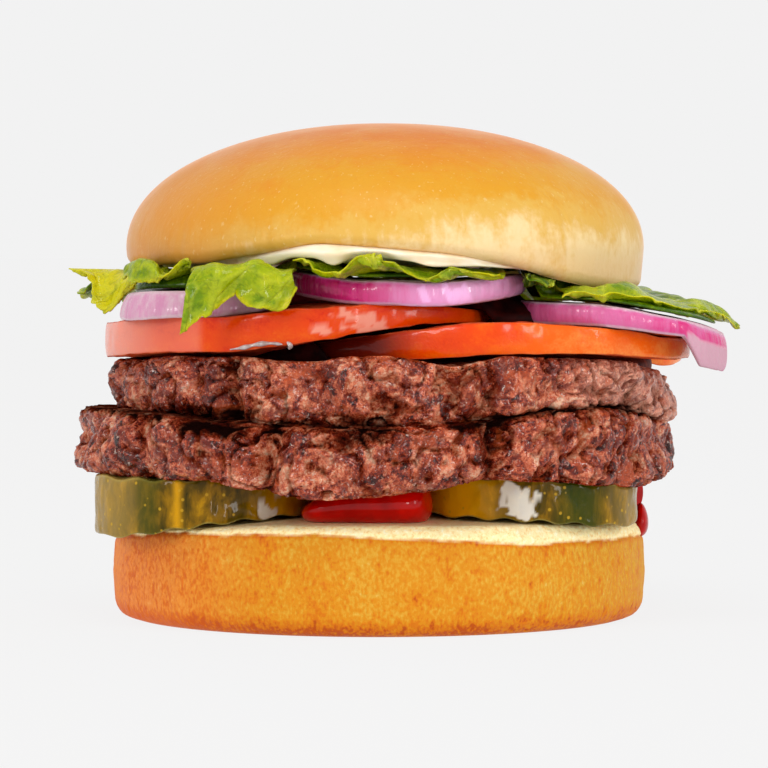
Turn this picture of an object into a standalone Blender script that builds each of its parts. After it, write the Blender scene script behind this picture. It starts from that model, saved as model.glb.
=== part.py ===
"""A double hamburger: a soft bun round two beef patties, with pickles, ketchup, tomato, onion, lettuce
and mayonnaise, each piece a closed solid of its own.

Lengths are millimetres until add_solid writes them in metres. X is to the right, Y to the back and Z up,
and the origin is the centre of the flat underside. Directions round the burger are degrees from +X,
anticlockwise from above: 90 is the back, 180 the left and 270 the front.
"""
import bpy
import numpy as np

MM = 0.001
CLEAR = 0.35            # space left between layers that rest on one another
FAR = 99.0              # beyond the whole burger
HANG_FROM = 1.2         # how far past the right tomato slice an end starts to hang
HANG_SIDE = 56.0        # how far right it starts
HANG_REACH = 3.0        # distance over which it then reaches its full depth

# Lower bun: a flat foot, an upright crust, and a pale cut face that rounds over at its rim.
BUN_SIDES = 36
BASE_FOOT = 47.5
BASE_RADIUS = 51.2
BASE_WIDEST = 8.5
BASE_FACE = 48.5
BASE_MIDDLE = 20.3
BASE_WALL = [(BASE_FOOT, 0.0), (49.5, 0.7), (50.6, 2.2), (51.0, 4.5), (BASE_RADIUS, BASE_WIDEST)]
BASE_LEAN = 0.4         # how far the crust leans in from its widest ring to its upper edge
SHOULDER_OUT = 1.5      # the ring between crust and cut face: how far outside the face
SHOULDER_SHARE = 0.65   # and what share of the way up from the crust's edge to the rim
BASE_RINGS = (1.0, 0.88, 0.72, 0.5, 0.0)
BASE_CRUST = [(0, 15.0), (60, 16.5), (120, 17.2), (180, 14.4), (200, 16.2), (226, 18.1), (258, 18.7),
              (280, 17.8), (305, 16.3), (344, 15.8)]
BASE_RIM = [(0, 17.8), (90, 19.5), (180, 17.8), (205, 18.2), (228, 19.0), (246, 20.1), (270, 20.3),
            (305, 19.8), (344, 18.5)]

# Upper bun: a dome on a nearly upright skirt whose lower edge turns under.
TOP_CENTRE = 1.25
TOP_RADIUS = 49.6
TOP_WIDEST = 70.0
TOP_HEIGHT = 93.9
TOP_POWER = 2.1
TOP_TUCK = 2.2
TOP_CEILING = 71.5
SKIRT_FALL = 7.0        # distance below the widest ring over which the skirt draws in
SKIRT_IN = 0.6          # and how far it does
UNDER_RINGS = (0.0, 0.4, 0.62, 0.79, 0.91, 1.0)
TUCK_TURNS = (35, 65, 90)
DOME_TURNS = (10, 24, 38, 51, 63, 74, 83)
TOP_RIM = [(0, 62.0), (60, 64.5), (120, 65.5), (180, 66.6), (225, 67.4), (240, 69.1), (255, 71.1),
           (270, 70.2), (285, 69.1), (300, 66.9), (311, 64.5), (325, 62.8)]

# Beef patties. The seam is the line where the two meet.
LOWER_CENTRE = -0.6
LOWER_RADIUS = 58.0
LOWER_UNDER = [(0, 28.0), (30, 27.8), (90, 27.6), (150, 27.9), (180, 27.7), (208, 28.1), (238, 27.8),
               (254, 25.3), (264, 24.3), (276, 25.9), (290, 27.9), (306, 27.7), (329, 25.5), (337, 26.2)]
SEAM = [(20, 37.5), (50, 39.5), (80, 38.2), (110, 40.2), (140, 38.5), (180, 39.0), (200, 40.5), (222, 39.9),
        (244, 37.8), (283, 37.6), (301, 40.7), (311, 41.9), (322, 41.6), (333, 39.7), (350, 36.5)]
UPPER_CENTRE = 2.8
UPPER_RADIUS = 54.6
UPPER_TOP = [(20, 46.2), (45, 49.2), (90, 50.2), (135, 49.6), (180, 48.6), (205, 49.6), (222, 50.8),
             (236, 51.2), (250, 50.0), (260, 51.6), (270, 51.4), (276, 50.2), (282, 48.4), (286, 49.6),
             (291, 51.4), (300, 50.8), (312, 50.4), (330, 48.6), (340, 46.8), (352, 45.0), (5, 44.8)]
UPPER_MIDDLE = 49.2
LOWER_MIDDLE = 28.4
SEAM_MIDDLE = 39.2
PATTY_EDGE = 3.4        # width of the rounding at a patty's rim
PATTY_POWER = 2.8       # squareness of that rounding
PATTY_SAG = 0.7         # how far the meeting faces are dished
PATTY_SIDES = 62
PATTY_RINGS = (0, 0.45, 0.8)
LOWER_SAG = 0.2         # the same for the face that lies on the pickles
LUMP_SIZE = 9.0
LUMP_DEPTH = 3.4
LUMP_SINK = 0.1         # how much of a hollow's depth its edges lose in height
# Clefts in the rims: direction, depth, half width in degrees.
LOWER_CLEFTS = [(221, 1.2, 3.0), (249, 4.2, 3.2), (265, 1.2, 3.0), (277, 2.2, 2.6), (293.5, 5.2, 3.6),
                (20, 3.5, 3.5), (64, 2.5, 3.0), (101, 4.0, 3.4), (139, 3.0, 3.0), (190, 1.6, 3.0)]
UPPER_CLEFTS = [(235, 4.0, 3.2), (254, 1.4, 3.0), (281, 1.4, 3.0), (288, 2.4, 2.6), (304, 1.4, 3.0),
                (32, 3.6, 3.4), (83, 2.8, 3.0), (118, 3.8, 3.4), (160, 2.4, 3.0)]

# Pickle chips: name, centre x and y, radius. The cut faces are waves that run to the back.
PICKLES = [("pickle_left", -33.0, -20.0, 20.3), ("pickle_right", 28.0, -19.4, 20.6),
           ("pickle_back_left", -18.0, 27.0, 19.5), ("pickle_back_right", 24.0, 28.0, 19.5)]
PICKLE_SPARE = 0.15      # more room kept over a pickle, for its straight edges
PICKLE_WAVE = 6.5        # distance from wave to wave
PICKLE_RIPPLE = 0.3      # height of a wave above and below its mean
PICKLE_BEND_FROM = 47.5  # distance from the burger's axis where a pickle starts to bend down
PICKLE_BEND = 0.018
PICKLE_ROWS = 4

# Ketchup: how far it reaches in each direction between the pickles.
KETCHUP_REACH = [(0, 51.6), (10, 51.6), (25, 30.0), (70, 30.0), (87, 44.0), (110, 30.0), (150, 36.0),
                 (166, 44.0), (185, 36.0), (215, 12.0), (242, 26.0), (252, 45.5), (281, 46.0), (290, 28.0),
                 (310, 10.0), (345, 36.0)]
KETCHUP_CLEAR = 1.4      # room between the ketchup and a pickle
# Share of the room under the beef that the ketchup's rim fills.
KETCHUP_FILL = [(30, 1.0), (200, 1.0), (244, 0.4), (251, 0.4), (255, 0.65), (259, 0.85), (264, 1.0),
                (280, 0.95), (286, 0.7), (292, 0.4), (330, 1.0)]
KETCHUP_EDGE = 5.0       # width of the rounding at its rim
KETCHUP_RINGS = (0, 0.45, 0.8)

# Tomato and onion slices, from the bottom of the pile up. Each has its centre, radius and thickness, the
# height wanted for its underside at x = 0, and how far it bridges round a step below it. Some also have
# the rise for each millimetre to the right, a bow across x, a sag of the middle, where and how fast they
# thin or slim to the right or left or droop to the right, a leaning rim, and a hanging end.
TOMATOES = {
    "tomato_back": dict(centre=(37.0, 30.0), radius=23.5, thick=3.7, under=47.9, reach=3,
                        droop_from=38.0, droop=0.008),
    "tomato_right": dict(centre=(20.5, -8.0), radius=38.8, thick=5.9, under=49.2, reach=6,
                         thin_from=26.0, thin=0.07, slim_from=12.0, slim=0.13),
    "tomato_left": dict(centre=(-13.5, -7.0), radius=38.5, thick=6.4, under=53.8, reach=4, rise=0.119,
                        sag=2.5, fall=0.04, thin_from=-14.0, thin=0.125),
}
ONIONS = {
    "onion_left": dict(centre=(-34.0, -25.9), radius=14.6, thick=4.9, under=61.1, reach=2, rise=0.12,
                       lean=1.5),
    "onion_right": dict(centre=(45.4, -21.5), radius=19.6, thick=4.2, under=58.3, reach=3, rise=-0.075,
                        droop_from=50.0, droop=0.012, thin_from=40.0, thin=0.07, hang=5.0),
    "onion_back": dict(centre=(-24.0, 20.0), radius=18.5, thick=4.0, under=56.0, reach=4),
    "onion_middle": dict(centre=(5.5, -23.0), radius=22.0, thick=4.6, under=59.5, reach=2, bow=0.0042,
                         thin_from=16.0, thin=0.06),
}

TOMATO_SIDES = 30
TOMATO_EDGE = 0.5        # width of the rounding at a slice's rim, and its squareness
TOMATO_POWER = 3.0
ONION_SIDES = 24
ONION_EDGE = 1.4
ONION_POWER = 2.4
SLICE_RINGS = (0, 0.4, 0.7, 0.88)
SLICE_MARGIN = 1.0       # how far past its rim a slice still counts for what lies on it

# Mayonnaise under the upper bun.
MAYO_SIDES = 30
MAYO_EDGE = 1.5
MAYO_RINGS = (0, 0.35, 0.6, 0.8)
MAYO_REACH = [(0, 39.0), (60, 40.0), (120, 38.0), (180, 40.0), (220, 41.0), (236, 44.0), (246, 47.0),
              (255, 49.2), (288, 49.2), (300, 47.4), (318, 40.0)]
MAYO_THICK = [(0, 1.8), (225, 1.8), (240, 4.2), (285, 4.0), (305, 1.8)]
MAYO_LEAST = 0.9
SAUCE_SPARE = 0.45       # more room kept under a sauce, for the straight edges of what it lies on

# Lettuce: each leaf is a loft through guide lines, from its root inside the burger to its edge.
LEAF_THICK = 0.8
LEAF_SPARE = 0.25        # more room kept over and under a leaf, for its straight edges
LEAF_RUFFLE = 1.1        # height of the waves along a leaf's edge
LEAF_WAVE = 15.0         # distance from wave to wave
LEAF_REACH = 3           # how far a leaf or a sauce bridges round a step below it
LEAF_COLUMNS = 13
LEAF_ROWS = 6
ROOM_MARGIN = 2.0        # how far past the mayonnaise its room is still kept
ROOF_MARGIN = 3.0        # how far past the upper bun its underside still holds a leaf down
LEAVES = {
    "lettuce_front": [
        [(-31, -32, 65.0), (-24, -31, 65.0), (-15, -31, 65.6)],
        [(-34, -42, 65.8), (-25, -42, 66.6), (-15, -42, 66.2)],
        [(-33, -48, 66.4), (-29, -48.5, 67.6), (-24.5, -48.5, 67.8), (-20.5, -48.5, 67.5),
         (-15.5, -48, 66.2)],
        [(-34.5, -51, 63.0), (-29.5, -51.5, 65.5), (-25, -51, 66.5), (-20.5, -51.5, 65.0),
         (-15.5, -50, 65.3)],
        [(-35.6, -50.5, 54.6), (-33.0, -51.3, 56.4), (-30.4, -51.0, 58.4), (-28.2, -50.2, 61.8),
         (-25.6, -49.6, 63.0), (-24.6, -50.6, 59.6), (-20.8, -51.0, 59.2), (-17.8, -50.2, 60.6),
         (-15.2, -49, 63.6)],
    ],
    "lettuce_middle": [
        [(-14, -30, 66.0), (3, -28, 66.4), (22, -29, 66.6)],
        [(-14.5, -41, 65.6), (3, -40, 66.4), (23, -39, 66.8)],
        [(-15.5, -47.5, 64.8), (-9, -49, 65.6), (-6.5, -50.6, 66.6), (-3.6, -51.6, 69.0),
         (-0.4, -51.4, 68.6), (3, -50, 66.6), (6, -48.6, 66.0), (13, -47, 65.8), (22, -45, 66.2)],
    ],
    "lettuce_left": [
        [(-40, -1, 64.8), (-38, -9, 64.8), (-36, -16, 64.8)],
        [(-52, -2, 65.6), (-48.5, -9, 65.0), (-44, -17, 64.6)],
        [(-59.3, -5, 65.7), (-55.6, -7, 64.0), (-54.2, -8.5, 60.4), (-51.6, -10.5, 58.8), (-48.6, -13, 59.4),
         (-46.2, -16, 61.8)],
    ],
    "lettuce_curl": [
        [(-41, -15, 65.4), (-38, -20, 65.4), (-34, -27, 65.2)],
        [(-46.4, -25, 67.0), (-42, -31, 67.8), (-39, -34, 65.4), (-34.6, -37, 66.0)],
        [(-47.6, -26, 64.0), (-44.6, -31.5, 63.2), (-41.4, -34.5, 65.0), (-38.4, -37, 64.4),
         (-34.6, -39.5, 63.6)],
    ],
    "lettuce_right": [
        [(31, -26, 63.2), (42, -18, 62.0), (52, -10, 60.0), (60, -6, 58.6), (66, -10, 55.8)],
        [(34, -37, 61.8), (42.4, -33.5, 63.4), (46, -31.5, 63.8), (50, -28.5, 61.4), (54.5, -25, 60.0),
         (60, -20, 60.4), (64, -17, 58.8), (67, -15, 56.0)],
        [(33.5, -41, 59.8), (42, -40.5, 58.8), (50, -38, 57.6), (56.6, -32, 56.4), (62.4, -24, 55.8),
         (68, -16, 54.7)],
    ],
    "lettuce_tuck": [
        [(25.6, -25, 66.4), (27.8, -28, 66.2), (30.6, -27.5, 65.9)],
        [(26.2, -34, 66.0), (28.6, -38, 65.4), (32.2, -36, 64.7)],
        [(26.6, -39, 64.2), (28.2, -41, 63.0), (32.0, -39.5, 61.8)],
    ],
    "lettuce_back_right": [
        [(52, -2, 60.4), (44, 18, 61.6), (26, 30, 63.4)],
        [(60.5, 2, 59.6), (52, 20, 61.6), (44, 33, 60.0), (30, 43, 62.8), (20, 44, 61.6)],
        [(63, 3, 58.6), (58, 19, 57.6), (49, 37, 59.2), (33, 49, 58.0), (20, 51, 60.4)],
    ],
    "lettuce_back": [
        [(18, 30, 63.8), (-2, 31, 63.8), (-18, 27, 64.0)],
        [(16, 46, 62.0), (6, 49, 63.6), (-8, 50, 61.6), (-20, 45, 63.2)],
        [(17, 53, 58.6), (7, 56, 61.0), (-8, 56, 58.0), (-24, 50, 61.4)],
    ],
    "lettuce_back_left": [
        [(-22, 25, 64.2), (-34, 13, 64.6), (-40, 4, 64.8)],
        [(-28, 41, 62.8), (-42, 30, 64.4), (-50, 17, 62.6), (-53, 4, 64.0)],
        [(-32, 47, 60.6), (-46, 36, 60.0), (-56, 20, 61.4), (-57.5, 5, 60.6)],
    ],
}

# Colours as linear red, green and blue, with roughness.
CRUST = (0.80, 0.33, 0.07, 0.45)
BEEF = (0.20, 0.07, 0.045, 0.5)
PICKLE = (0.27, 0.22, 0.03, 0.3)
TOMATO = (0.76, 0.08, 0.01, 0.25)
ONION = (0.55, 0.13, 0.33, 0.3)
LETTUCE = (0.30, 0.42, 0.02, 0.4)
KETCHUP = (0.35, 0.003, 0.004, 0.15)
MAYONNAISE = (0.85, 0.76, 0.6, 0.3)

TURN_STEP = 0.5
TURN = np.arange(0.0, 360.0, TURN_STEP)


def around(stations, soft=6.0):
    """A value for each half degree round the burger: straight between the stations, then softened."""
    angle, value = np.array(stations, float).T
    table = np.interp(TURN, angle, value, period=360)
    reach = int(soft / TURN_STEP)
    weight = np.hanning(2 * reach + 3)[1:-1]
    wrapped = np.concatenate([table[-reach:], table, table[:reach]])
    return np.convolve(wrapped, weight / weight.sum(), "valid")


def at(table, angle):
    """The value of a table at any directions in degrees."""
    return np.interp(angle, TURN, table, period=360)


def polar(x, y, centre=0.0):
    """Distance and direction of points from an upright axis at x = centre, y = 0."""
    return np.hypot(x - centre, y), np.degrees(np.arctan2(y, x - centre))


def chance(ix, iy, iz, seed):
    """A number from 0 to 1 for each whole-numbered place, the same on every run."""
    mixed = (ix * 73856093) ^ (iy * 19349663) ^ (iz * 83492791) ^ (seed * 6542989)
    mixed = ((mixed ^ (mixed >> 13)) * 1274126177) & 0xFFFFFFFF
    mixed = ((mixed ^ (mixed >> 15)) * 2246822519) & 0xFFFFFFFF
    return ((mixed ^ (mixed >> 16)) & 0xFFFFFF) / float(0xFFFFFF)


def creases(x, y, z, size, seed):
    """Distance to the nearest of a set of scattered points, in sizes: 0 on a lump, about 1 in a crease."""
    place = np.stack([x, y, z]) / size
    cell = np.floor(place).astype(np.int64)
    nearest = np.full(x.shape, 9.0)
    for dx in (-1, 0, 1):
        for dy in (-1, 0, 1):
            for dz in (-1, 0, 1):
                ix, iy, iz = cell[0] + dx, cell[1] + dy, cell[2] + dz
                far = (place[0] - ix - chance(ix, iy, iz, seed)) ** 2
                far += (place[1] - iy - chance(ix, iy, iz, seed + 1)) ** 2
                far += (place[2] - iz - chance(ix, iy, iz, seed + 2)) ** 2
                nearest = np.minimum(nearest, far)
    return np.sqrt(nearest)


def smooth_line(points, count):
    """A Catmull-Rom curve through the points, read at count evenly spaced parameters."""
    points = np.asarray(points, float)
    ends = np.vstack([2 * points[0] - points[1], points, 2 * points[-1] - points[-2]])
    t = np.linspace(0, len(points) - 1, count)
    i = np.minimum(t.astype(int), len(points) - 2)
    f = (t - i)[:, None]
    a, b, c, d = ends[i], ends[i + 1], ends[i + 2], ends[i + 3]
    return 0.5 * (2 * b + (c - a) * f + (2 * a - 5 * b + 4 * c - d) * f**2 + (3 * b - a - 3 * c + d) * f**3)


def loft(guides, columns, rows):
    """A sheet of points: each guide line read at the columns, then a smooth line across them."""
    lines = np.stack([smooth_line(guide, columns) for guide in guides])
    return smooth_line(lines.reshape(len(guides), -1), rows).reshape(rows, columns, 3)


def ruffled(sheet):
    """A sheet with waves in height that run out to its edge, where they are highest."""
    step = np.linalg.norm(np.diff(sheet[-1], axis=0), axis=1)
    along = np.concatenate([[0.0], np.cumsum(step)])
    out = np.linspace(0, 1, len(sheet))[:, None] ** 2
    sheet[..., 2] += LEAF_RUFFLE * out * np.sin(2 * np.pi * along / LEAF_WAVE)
    return sheet


def rim_profile(face_shares, rim_steps, power):
    """Places round half the section of a slab with a rounded rim, from under its centre to above it.

    A ring's radius is whole * R - cut * edge, and its height is a share from -1 below to 1 above.
    """
    phi = np.linspace(-90, 90, rim_steps)
    cosine = np.clip(np.cos(np.radians(phi)), 0, 1) ** (2 / power)
    sine = np.sin(np.radians(phi))
    faces = np.array(face_shares, float)
    whole = np.concatenate([faces, np.ones(rim_steps), faces[::-1]])
    cut = np.concatenate([faces, 1 - cosine, faces[::-1]])
    level = np.sign(sine) * np.abs(sine) ** (2 / power)
    height = np.concatenate([-np.ones(len(faces)), level, np.ones(len(faces))])
    return whole, cut, height


def halved(sheet):
    """The same sheet with a point added half way between neighbours, along both directions."""
    rows = np.repeat(sheet, 2, axis=0)[:-1]
    rows[1::2] = (sheet[:-1] + sheet[1:]) / 2
    both = np.repeat(rows, 2, axis=1)[:, :-1]
    both[:, 1::2] = (rows[:, :-1] + rows[:, 1:]) / 2
    return both


def nothing(x, y):
    """A wanted underside far below everything, for a layer that only follows the pile."""
    return 0 * x + SEAM_MIDDLE


def material(name, look):
    """A plain material of the piece's colour and roughness."""
    made = bpy.data.materials.new(name + "_look")
    made.use_nodes = True
    shader = made.node_tree.nodes["Principled BSDF"]
    shader.inputs["Base Color"].default_value = (*look[:3], 1)
    shader.inputs["Roughness"].default_value = look[3]
    shader.inputs["Metallic"].default_value = 0
    return made


def add_solid(name, points, faces, look):
    """One object from points in millimetres, with its faces turned outwards."""
    points = np.asarray(points, float)
    triangles = np.array([(f[0], f[i], f[i + 1]) for f in faces for i in range(1, len(f) - 1)])
    a, b, c = points[triangles[:, 0]], points[triangles[:, 1]], points[triangles[:, 2]]
    if np.einsum("ij,ij->i", a, np.cross(b, c)).sum() < 0:
        faces = [tuple(reversed(f)) for f in faces]
    mesh = bpy.data.meshes.new(name)
    mesh.from_pydata((points * MM).tolist(), [], faces)
    mesh.materials.append(material(name, look))
    mesh.shade_smooth()
    thing = bpy.data.objects.new(name, mesh)
    bpy.context.scene.collection.objects.link(thing)
    return thing


def ring_solid(name, rings, look, flat_foot=False):
    """A closed body from rings of points, with a pole at each end, or one flat face at the bottom."""
    count = rings.shape[1]
    inner = rings if flat_foot else rings[1:]
    inner = inner[:-1]
    points = [inner.reshape(-1, 3), rings[-1].mean(axis=0)[None]]
    top = len(inner) * count
    faces = []
    for j in range(count):
        k = (j + 1) % count
        for i in range(len(inner) - 1):
            low, high = i * count, (i + 1) * count
            faces.append((low + j, low + k, high + k))
            faces.append((low + j, high + k, high + j))
        last = (len(inner) - 1) * count
        faces.append((last + j, last + k, top))
    if flat_foot:
        faces.append(tuple(reversed(range(count))))
    else:
        points.append(rings[0].mean(axis=0)[None])
        faces += [((j + 1) % count, j, top + 1) for j in range(count)]
    return add_solid(name, np.vstack(points), faces, look)


def plate_solid(name, upper, lower, look):
    """A closed body between two sheets of points of the same shape, both split into triangles alike."""
    rows, columns = upper.shape[:2]
    size = rows * columns
    index = np.arange(size).reshape(rows, columns)
    faces = []
    for i in range(rows - 1):
        for j in range(columns - 1):
            a, b, c, d = index[i, j], index[i, j + 1], index[i + 1, j + 1], index[i + 1, j]
            faces += [(a, b, c), (a, c, d), (size + c, size + b, size + a), (size + d, size + c, size + a)]
    loop = np.concatenate([index[0, :-1], index[:-1, -1], index[-1, :0:-1], index[:0:-1, 0]])
    for a, b in zip(loop, np.roll(loop, -1)):
        faces += [(b, a, size + a), (b, size + a, size + b)]
    faces = [tuple(int(v) for v in f) for f in faces]
    return add_solid(name, np.vstack([upper.reshape(-1, 3), lower.reshape(-1, 3)]), faces, look)


class Pile:
    """Heights reached by the stacked layers, on a square grid, so that each new one lies on the last."""

    CELL = 1.0
    HALF = 80

    def __init__(self, surface):
        line = np.arange(-self.HALF, self.HALF + 1) * self.CELL
        self.x, self.y = np.meshgrid(line, line)
        self.height = surface(self.x, self.y)

    def read(self, table, x, y):
        """Bilinear reading of a table on the grid."""
        u = np.clip(x / self.CELL + self.HALF, 0, 2 * self.HALF - 0.001)
        v = np.clip(y / self.CELL + self.HALF, 0, 2 * self.HALF - 0.001)
        i, j = v.astype(int), u.astype(int)
        f, g = v - i, u - j
        low = table[i, j] * (1 - g) + table[i, j + 1] * g
        high = table[i + 1, j] * (1 - g) + table[i + 1, j + 1] * g
        return low * (1 - f) + high * f

    def bed(self, wanted, reach, counts=True):
        """The wanted underside, lifted clear of the pile where that counts.

        The height is the highest within reach, which is then averaged over the same reach.
        """
        aim = wanted(self.x, self.y)
        table = np.where(counts, np.maximum(self.height, aim), aim)
        for axis in (0, 1):
            steps = [np.roll(table, s, axis) for s in range(-reach, reach + 1)]
            table = np.max(steps, axis=0)
        for half in (reach // 2, reach - reach // 2):
            for axis in (0, 1):
                steps = [np.roll(table, s, axis) for s in range(-half, half + 1)]
                table = np.mean(steps, axis=0)
        return table + CLEAR

    def cover(self, top, inside):
        """Add a layer's upper face where the layer lies."""
        self.height = np.where(inside, np.maximum(self.height, top), self.height)

    def cover_points(self, points, lift):
        """Add the cells under a sheet of points, and their neighbours."""
        i = np.rint(points[..., 1] / self.CELL + self.HALF).astype(int).ravel()
        j = np.rint(points[..., 0] / self.CELL + self.HALF).astype(int).ravel()
        z = points[..., 2].ravel() + lift
        for di in (-1, 0, 1):
            for dj in (-1, 0, 1):
                np.maximum.at(self.height, (i + di, j + dj), z)


def base_face(x, y):
    """The cut face of the lower bun, and the level that it would keep past its rim."""
    r, a = polar(x, y)
    rim = at(around(BASE_RIM), a)
    return BASE_MIDDLE + (rim - BASE_MIDDLE) * np.minimum(r / BASE_FACE, 1) ** 4


def ceiling(x, y):
    """The underside of the upper bun: a flat middle that comes down to the edge all round."""
    r, a = polar(x, y, TOP_CENTRE)
    rim = at(around(TOP_RIM), a)
    return rim + (TOP_CEILING - rim) * (1 - np.minimum(r / (TOP_RADIUS - TOP_TUCK), 1) ** 4)


def patty_face(stations, middle, centre, radius, sag, x, y):
    """A face of a patty: its rim's height in each direction, passing smoothly to the middle's."""
    r, a = polar(x, y, centre)
    share = np.minimum(r / radius, 1)
    rim = at(around(stations, 4.0), a)
    return middle + (rim - middle) * share**5 + sag * (1 - share**6)


def lower_under(x, y):
    return patty_face(LOWER_UNDER, LOWER_MIDDLE, LOWER_CENTRE, LOWER_RADIUS, LOWER_SAG, x, y)


def seam_under(x, y):
    return patty_face(SEAM, SEAM_MIDDLE, LOWER_CENTRE, LOWER_RADIUS, -PATTY_SAG, x, y) - CLEAR / 2


def seam_over(x, y):
    return patty_face(SEAM, SEAM_MIDDLE, LOWER_CENTRE, LOWER_RADIUS, PATTY_SAG, x, y) + CLEAR / 2


def upper_top(x, y):
    return patty_face(UPPER_TOP, UPPER_MIDDLE, UPPER_CENTRE, UPPER_RADIUS, 0.0, x, y)


def base_bun():
    """Rings up the crust of the lower bun and in over its cut face."""
    a = np.arange(BUN_SIDES) * 360.0 / BUN_SIDES
    crust, rim = at(around(BASE_CRUST), a), at(around(BASE_RIM), a)
    rings = [(np.full(BUN_SIDES, r), np.full(BUN_SIDES, z)) for r, z in BASE_WALL]
    rings.append((np.full(BUN_SIDES, BASE_RADIUS - BASE_LEAN / 2), (crust + BASE_WIDEST) / 2))
    rings.append((np.full(BUN_SIDES, BASE_RADIUS - BASE_LEAN), crust))
    rings.append((np.full(BUN_SIDES, BASE_FACE + SHOULDER_OUT), crust + (rim - crust) * SHOULDER_SHARE))
    for share in BASE_RINGS:
        r = np.full(BUN_SIDES, BASE_FACE * share)
        rings.append((r, base_face(r * np.cos(np.radians(a)), r * np.sin(np.radians(a)))))
    rings = [np.stack([r * np.cos(np.radians(a)), r * np.sin(np.radians(a)), z], -1) for r, z in rings]
    ring_solid("bun_base", np.array(rings), CRUST, flat_foot=True)


def dome_radius(z):
    """Radius of the upper bun at a height: a superellipse above its widest, a little less below it."""
    up = np.clip((z - TOP_WIDEST) / (TOP_HEIGHT - TOP_WIDEST), 0, 1)
    down = np.clip((TOP_WIDEST - z) / SKIRT_FALL, 0, 1)
    return TOP_RADIUS * (1 - up**TOP_POWER) ** (1 / TOP_POWER) - SKIRT_IN * down


def top_bun():
    """Rings out under the upper bun, round its turned edge and up the dome."""
    a = np.arange(BUN_SIDES) * 360.0 / BUN_SIDES
    rim = at(around(TOP_RIM), a)
    rings = []
    for share in UNDER_RINGS:
        r = np.full(BUN_SIDES, (TOP_RADIUS - TOP_TUCK) * share)
        x, y = TOP_CENTRE + r * np.cos(np.radians(a)), r * np.sin(np.radians(a))
        rings.append((r, ceiling(x, y)))
    for turn in TUCK_TURNS:
        z = rim + TOP_TUCK * (1 - np.cos(np.radians(turn)))
        rings.append((dome_radius(z) - TOP_TUCK * (1 - np.sin(np.radians(turn))), z))
    start = rim + TOP_TUCK
    for phi in DOME_TURNS:
        rise = np.sin(np.radians(phi))
        z = start + (TOP_HEIGHT - start) * rise
        rings.append((dome_radius(z), z))
    rings.append((np.zeros(BUN_SIDES), np.full(BUN_SIDES, TOP_HEIGHT)))
    rings = [np.stack([TOP_CENTRE + r * np.cos(np.radians(a)), r * np.sin(np.radians(a)), z], -1)
             for r, z in rings]
    ring_solid("bun_top", np.array(rings), CRUST)


def patty(name, centre, radius, under, over, clefts, seed):
    """A slab of minced beef between two faces, with lumps and clefts cut into its rounded rim."""
    whole, cut, height = rim_profile(PATTY_RINGS, 8, PATTY_POWER)
    a = np.arange(PATTY_SIDES) * 360.0 / PATTY_SIDES
    r = whole[:, None] * radius - cut[:, None] * PATTY_EDGE + 0 * a
    x, y = centre + r * np.cos(np.radians(a)), r * np.sin(np.radians(a))
    low, high = under(x, y), over(x, y)
    z = (low + high) / 2 + (high - low) / 2 * height[:, None]
    side = np.minimum(r / radius, 1) ** 4
    depth = LUMP_DEPTH * np.clip(creases(x, y, z, LUMP_SIZE, seed), 0, 1) ** 1.5
    for where, deep, half in clefts:
        off = (a - where + 180) % 360 - 180
        depth = depth + deep * np.exp(-((off / half) ** 2)) * side
    r = r - depth * side
    z = z - LUMP_SINK * depth * height[:, None] * side
    x, y = centre + r * np.cos(np.radians(a)), r * np.sin(np.radians(a))
    ring_solid(name, np.stack([x, y, z], -1), BEEF)


def pickle_bed(x, y):
    """Where the underside of a pickle lies: on the lower bun, bending down past its rim."""
    r, _ = polar(x, y)
    return base_face(x, y) + CLEAR - PICKLE_BEND * np.clip(r - PICKLE_BEND_FROM, 0, 20) ** 2


def pickle(name, centre_x, centre_y, radius):
    """A round chip with waved faces: strips in x, a quarter wave apart, each as deep as the circle there."""
    step = PICKLE_WAVE / 4
    half = int(radius / step)
    across = np.arange(-half, half + 1) * step
    reach = np.sqrt(radius**2 - across**2)
    share = np.linspace(-1, 1, PICKLE_ROWS)
    x = centre_x + across[:, None] + 0 * share
    y = centre_y + reach[:, None] * share
    wave = PICKLE_RIPPLE * np.sin(2 * np.pi * across / PICKLE_WAVE)[:, None]
    low = pickle_bed(x, y) + PICKLE_RIPPLE + wave
    high = lower_under(x, y) - CLEAR - PICKLE_SPARE - PICKLE_RIPPLE + wave
    plate_solid(name, np.stack([x, y, high], -1), np.stack([x, y, low], -1), PICKLE)


def ketchup():
    """A pool between the buns and beef, as far out as its reach, held clear of the pickles."""
    whole, cut, height = rim_profile(KETCHUP_RINGS, 5, 2.0)
    a = np.arange(BUN_SIDES) * 360.0 / BUN_SIDES
    reach = at(around(KETCHUP_REACH), a)
    for _, px, py, pr in PICKLES:
        along = px * np.cos(np.radians(a)) + py * np.sin(np.radians(a))
        off = px * np.sin(np.radians(a)) - py * np.cos(np.radians(a))
        hit = along - np.sqrt(np.clip((pr + KETCHUP_CLEAR) ** 2 - off**2, 0, None))
        reach = np.where((np.abs(off) < pr + KETCHUP_CLEAR) & (along > 0), np.minimum(reach, hit), reach)
    r = whole[:, None] * reach - cut[:, None] * KETCHUP_EDGE
    x, y = r * np.cos(np.radians(a)), r * np.sin(np.radians(a))
    low = base_face(x, y) + CLEAR + SAUCE_SPARE
    fill = 1 - (1 - at(around(KETCHUP_FILL, 3.0), a)) * whole[:, None] ** 3
    high = low + (lower_under(x, y) - CLEAR - low) * fill
    z = (low + high) / 2 + (high - low) / 2 * height[:, None]
    ring_solid("ketchup", np.stack([x, y, z], -1), KETCHUP)


def past_tomato(x, y):
    """0 over the right tomato slice, rising to 1 beyond its rim and right end."""
    cx, cy = TOMATOES["tomato_right"]["centre"]
    beyond = np.hypot(x - cx, y - cy) - TOMATOES["tomato_right"]["radius"]
    return np.clip((beyond - HANG_FROM) / HANG_REACH, 0, 1) * np.clip((x - HANG_SIDE) / HANG_REACH, 0, 1)


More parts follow.
